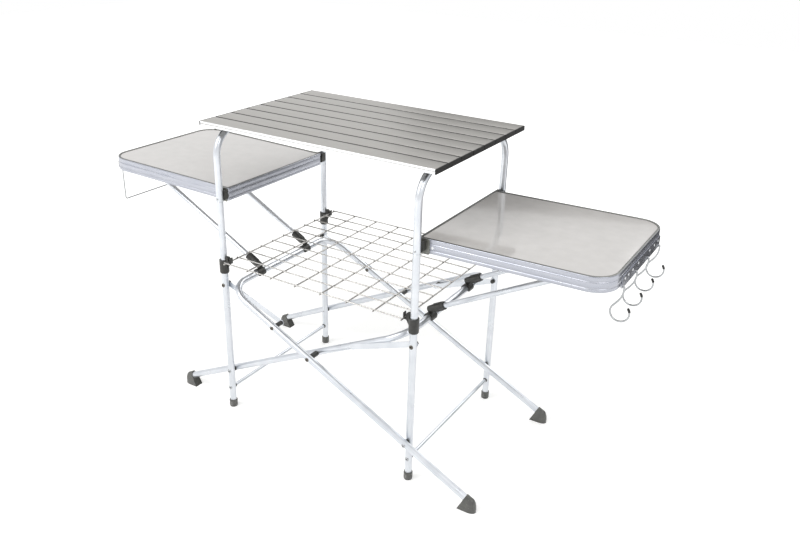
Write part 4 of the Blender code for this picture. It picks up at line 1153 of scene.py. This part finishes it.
def holed_plate(outlines, thickness):
    """A flat plate of the first outline, with the other outlines as its holes."""
    curve = bpy.data.curves.new("strip", "CURVE")
    curve.dimensions = "2D"
    curve.fill_mode = "BOTH"
    curve.extrude = thickness / 2
    for outline in outlines:
        spline = curve.splines.new("POLY")
        spline.points.add(len(outline) - 1)
        spline.use_cyclic_u = True
        for spot, point in zip(spline.points, outline):
            spot.co = (*point, 0, 1)
    shape = bpy.data.objects.new("strip", curve)
    bpy.context.scene.collection.objects.link(shape)
    mesh = bpy.data.meshes.new_from_object(shape.evaluated_get(bpy.context.evaluated_depsgraph_get()))
    bpy.data.objects.remove(shape, do_unlink=True)
    plate = bmesh.new()
    plate.from_mesh(mesh)
    bmesh.ops.remove_doubles(plate, verts=plate.verts, dist=0.01)
    bmesh.ops.recalc_face_normals(plate, faces=plate.faces)
    return plate


def make_hook_strip():
    """The riveted strip on the right tray's outer end, with a hole for each hook."""
    inner = TRAY_LENGTH + FIT
    outer = inner + STRIP_THICKNESS
    low = -TRAY_RIM_HEIGHT - HOOK_BAR_DROP - HOOK_BAR / 2
    hole_z = low + HOOK_BAR + HOOK_HOLE_R
    outlines = [rounded(rectangle(STRIP_START_Y, low, STRIP_END_Y, -STRIP_TOP), [STRIP_CORNER_R] * 4)]
    for i in range(HOOK_COUNT):
        outlines.append(arc((HOOK_FIRST_Y + i * HOOK_PITCH, hole_z), HOOK_HOLE_R, 0, 345, 23))
    plate = holed_plate(outlines, STRIP_THICKNESS)
    plate.transform(cross_plane((inner + outer) / 2))
    parts = [(plate, ANODISED_RIM)]
    edge_r = STRIP_RIVET_R
    dome = ((edge_r, -0.4), (edge_r, 0.3), (edge_r * 0.8, 0.75), (edge_r * 0.4, 1))
    for y in STRIP_RIVETS_Y:
        place = toward((outer, y, -STRIP_RIVET_DOWN), (1, 0, 0))
        parts.append((turned(dome, place, STUD_SIDES), BRIGHT_TRIM))
    dress("hook_strip", *parts, place=TRAY_FRAME)


def hook_point(radius, degrees, centre=(0, 0)):
    """A point on a circle in the hook's plane."""
    x, z = arc(centre, radius, degrees, degrees, 1)[0]
    return Vector((x, 0, z))


def make_hook(number):
    """A wire hook: an eye over the strip's bar, a neck that bulges inwards, an open ring and a vinyl tip."""
    centre = (HOOK_RING_OUT, -HOOK_RING_DROP)
    eye = [hook_point(HOOK_EYE_R, HOOK_EYE_SWEEP * (1 - i / EYE_STEPS)) for i in range(EYE_STEPS + 1)]
    neck_top = Vector((HOOK_EYE_R, 0, -HOOK_NECK_DROP))
    ring_start = hook_point(HOOK_RING_R, HOOK_RING_START, centre)
    heading = hook_point(1, HOOK_RING_START + 90)
    below_eye = neck_top - Vector((0, 0, HOOK_NECK_PULL))
    neck = interpolate_bezier(neck_top, below_eye, ring_start - heading * HOOK_RING_PULL, ring_start, 14)
    step = (HOOK_RING_END - HOOK_RING_START) / RING_STEPS
    ring = [hook_point(HOOK_RING_R, HOOK_RING_START + step * i, centre) for i in range(1, RING_STEPS + 1)]
    tip_step = math.degrees(HOOK_TIP_LENGTH / HOOK_RING_R) / TIP_STEPS
    tip = [hook_point(HOOK_RING_R, HOOK_RING_END + 1 - tip_step * i, centre) for i in range(TIP_STEPS + 1)]
    out = TRAY_LENGTH + FIT + STRIP_THICKNESS / 2
    y = HOOK_FIRST_Y + (number - 1) * HOOK_PITCH
    pivot = TRAY_FRAME @ Vector((out, y, -TRAY_RIM_HEIGHT - HOOK_BAR_DROP))
    dress(
        f"hook_{number}",
        (tube(eye + neck + ring, HOOK_WIRE_R, WIRE_SIDES), CHROME),
        (tube(tip, HOOK_TIP_R, WIRE_SIDES, edge=0.8), DIPPED_VINYL),
        place=Matrix.Translation(pivot),
    )


def make_bail():
    """The towel bail that hangs from two ears at the left tray's outer end."""
    pivot = TRAY_FRAME @ Vector((TRAY_LENGTH + BAIL_OUT, 0, -BAIL_DROP))
    end_y = EAR_Y + EAR_THICKNESS + BAIL_END
    corners = ((-end_y, pivot.z), (-BAIL_HALF_WIDTH, pivot.z), (-BAIL_HALF_WIDTH, BAIL_BOTTOM_Z))
    corners += tuple((-y, z) for y, z in corners[::-1])
    route = [(pivot.x, y, z) for y, z in corners]
    wire = tube(bent(route, BAIL_BEND_R, 8), BAIL_WIRE_R, WIRE_SIDES)
    dress("towel_bail", (wire, CHROME), place=HALF_TURN)


for end_name, half_turn in ENDS.items():
    make_leg_frame(end_name, half_turn)
    make_foot_caps(end_name, half_turn)
    make_shelf_clips(end_name, half_turn)
    make_upper_frame(end_name, half_turn)
    make_buttons(end_name, half_turn)
    make_receivers(end_name, half_turn)
    make_panel(end_name, half_turn @ TRAY_FRAME)
    make_rim(end_name, half_turn @ TRAY_FRAME)
    make_struts(end_name, half_turn)
for letter, half_turn in (("a", ENDS["right"]), ("b", ENDS["left"])):
    make_cross_frame(f"cross_frame_{letter}", half_turn)
    make_shoes(f"shoe_{letter}", half_turn)
for end_name, end_side in (("left", -1), ("right", 1)):
    for y_side in SIDES:
        link_name = f"{end_name}_link_{label_of(y_side)}"
        make_link(link_name, (end_side * UPRIGHT_X, y_side), end_side * LINK_LEG_X)
for slat_number in range(1, SLAT_COUNT + 1):
    make_slat(slat_number)
make_shelf()
make_hook_strip()
for hook_number in range(1, HOOK_COUNT + 1):
    make_hook(hook_number)
make_bail()


# Studio


def seen(tree):
    """1 for rays that come straight from the camera, a mirror or glass."""
    path = add(tree, "ShaderNodeLightPath").outputs
    sockets = {0: path["Is Camera Ray"], 1: path["Is Glossy Ray"]}
    direct = add(tree, "ShaderNodeMath", sockets, operation="ADD").outputs[0]
    sockets = {0: direct, 1: path["Is Transmission Ray"]}
    return add(tree, "ShaderNodeMath", sockets, operation="ADD", use_clamp=True).outputs[0]


def make_world(ambient):
    """A white room that lights the table gently from all round."""
    world = bpy.data.worlds.new("white room")
    bpy.context.scene.world = world
    world.use_nodes = True
    tree = world.node_tree
    sockets = {0: seen(tree), 1: 1 - ambient, 2: ambient}
    strength = add(tree, "ShaderNodeMath", sockets, operation="MULTIPLY_ADD").outputs[0]
    background = tree.nodes["Background"]
    background.inputs["Color"].default_value = (1, 1, 1, 1)
    tree.links.new(strength, background.inputs["Strength"])


def make_sheet(name, size, place=Matrix.Identity(4)):
    """A square sheet of the studio."""
    bm = bmesh.new()
    corners = rectangle(-size / 2, -size / 2, size / 2, size / 2)
    bm.faces.new([bm.verts.new(place @ Vector((x, y, 0))) for x, y in corners])
    mesh = bpy.data.meshes.new(name)
    bm.to_mesh(mesh)
    bm.free()
    sheet = bpy.data.objects.new(name, mesh)
    bpy.context.scene.collection.objects.link(sheet)
    return sheet


def make_floor(size, near_lift, far_lift):
    """White paper floor, lifted to white for the camera and more so away from the table, so that it shows no
    edge and keeps the table's own shadow."""
    floor = make_sheet("studio_floor", size)
    paper, tree, shader = blank("white paper")
    shader.inputs["Base Color"].default_value = linear("#f0f0ee")
    shader.inputs["Roughness"].default_value = 0.9
    shader.inputs["Emission Color"].default_value = (1, 1, 1, 1)
    spot = add(tree, "ShaderNodeTexCoord").outputs["Object"]
    away = add(tree, "ShaderNodeVectorMath", {0: spot}, operation="LENGTH").outputs["Value"]
    sockets = {"Value": away, "From Min": FADE_START, "From Max": FADE_END}
    sockets |= {"To Min": near_lift, "To Max": far_lift}
    lift = add(tree, "ShaderNodeMapRange", sockets).outputs["Result"]
    glow = add(tree, "ShaderNodeMath", {0: seen(tree), 1: lift}, operation="MULTIPLY").outputs[0]
    tree.links.new(glow, shader.inputs["Emission Strength"])
    floor.data.materials.append(paper)


def make_lamp(name, spot, aim, size, watts):
    """A square soft box that looks at a point."""
    light = bpy.data.lights.new(name, "AREA")
    light.size = size
    light.energy = watts
    lamp = bpy.data.objects.new(name, light)
    lamp.location = spot
    lamp.rotation_mode = "QUATERNION"
    lamp.rotation_quaternion = (Vector(aim) - Vector(spot)).to_track_quat("-Z", "Y")
    bpy.context.scene.collection.objects.link(lamp)


def make_flag(name, spot, aim, size, code):
    """A dark card beside the set that only shows as the darker side of the bright metal."""
    card = make_sheet(name, size, toward(spot, Vector(aim) - Vector(spot)))
    felt, _, shader = blank(f"{name} felt")
    shader.inputs["Base Color"].default_value = linear(code)
    shader.inputs["Roughness"].default_value = 1.0
    card.data.materials.append(felt)
    card.visible_camera = False
    card.visible_diffuse = False
    card.visible_shadow = False


def make_camera():
    """The camera at the photograph's place."""
    data = bpy.data.cameras.new("camera")
    data.sensor_width = SENSOR_WIDTH
    data.lens = FOCAL_PIXELS / IMAGE_WIDTH * SENSOR_WIDTH
    camera = bpy.data.objects.new("camera", data)
    tilt = Matrix.Rotation(math.pi / 2 - CAMERA_ELEVATION, 4, "X") @ Matrix.Rotation(CAMERA_ROLL, 4, "Z")
    heading = Matrix.Rotation(CAMERA_AZIMUTH, 4, "Z")
    camera.matrix_world = Matrix.Translation(CAMERA_SPOT) @ heading @ tilt
    bpy.context.scene.collection.objects.link(camera)
    bpy.context.scene.camera = camera


make_world(ambient=0.5)
make_floor(size=16, near_lift=0.4, far_lift=0.8)
make_lamp("key_box", (-1.6, -3.0, 3.6), (0, 0, 0.4), 3.0, 95)
make_lamp("spark_box", (-1.9, -2.3, 2.9), (0, 0, 0.3), 0.5, 10)
make_lamp("fill_box", (2.6, -1.2, 2.6), (0, 0, 0.5), 1.6, 18)
make_lamp("back_box", (0.6, 3.0, 3.0), (0, 0, 0.6), 2.0, 30)
make_flag("right_flag", (1.15, 1.25, 0.3), (0.6, 0, 0.5), 1.1, "#3a3a3a")
make_flag("back_flag", (-0.9, 3.6, 0.95), (0, 0, 0.95), 2.0, "#141414")
make_camera()
bpy.context.scene.view_settings.view_transform = "Standard"
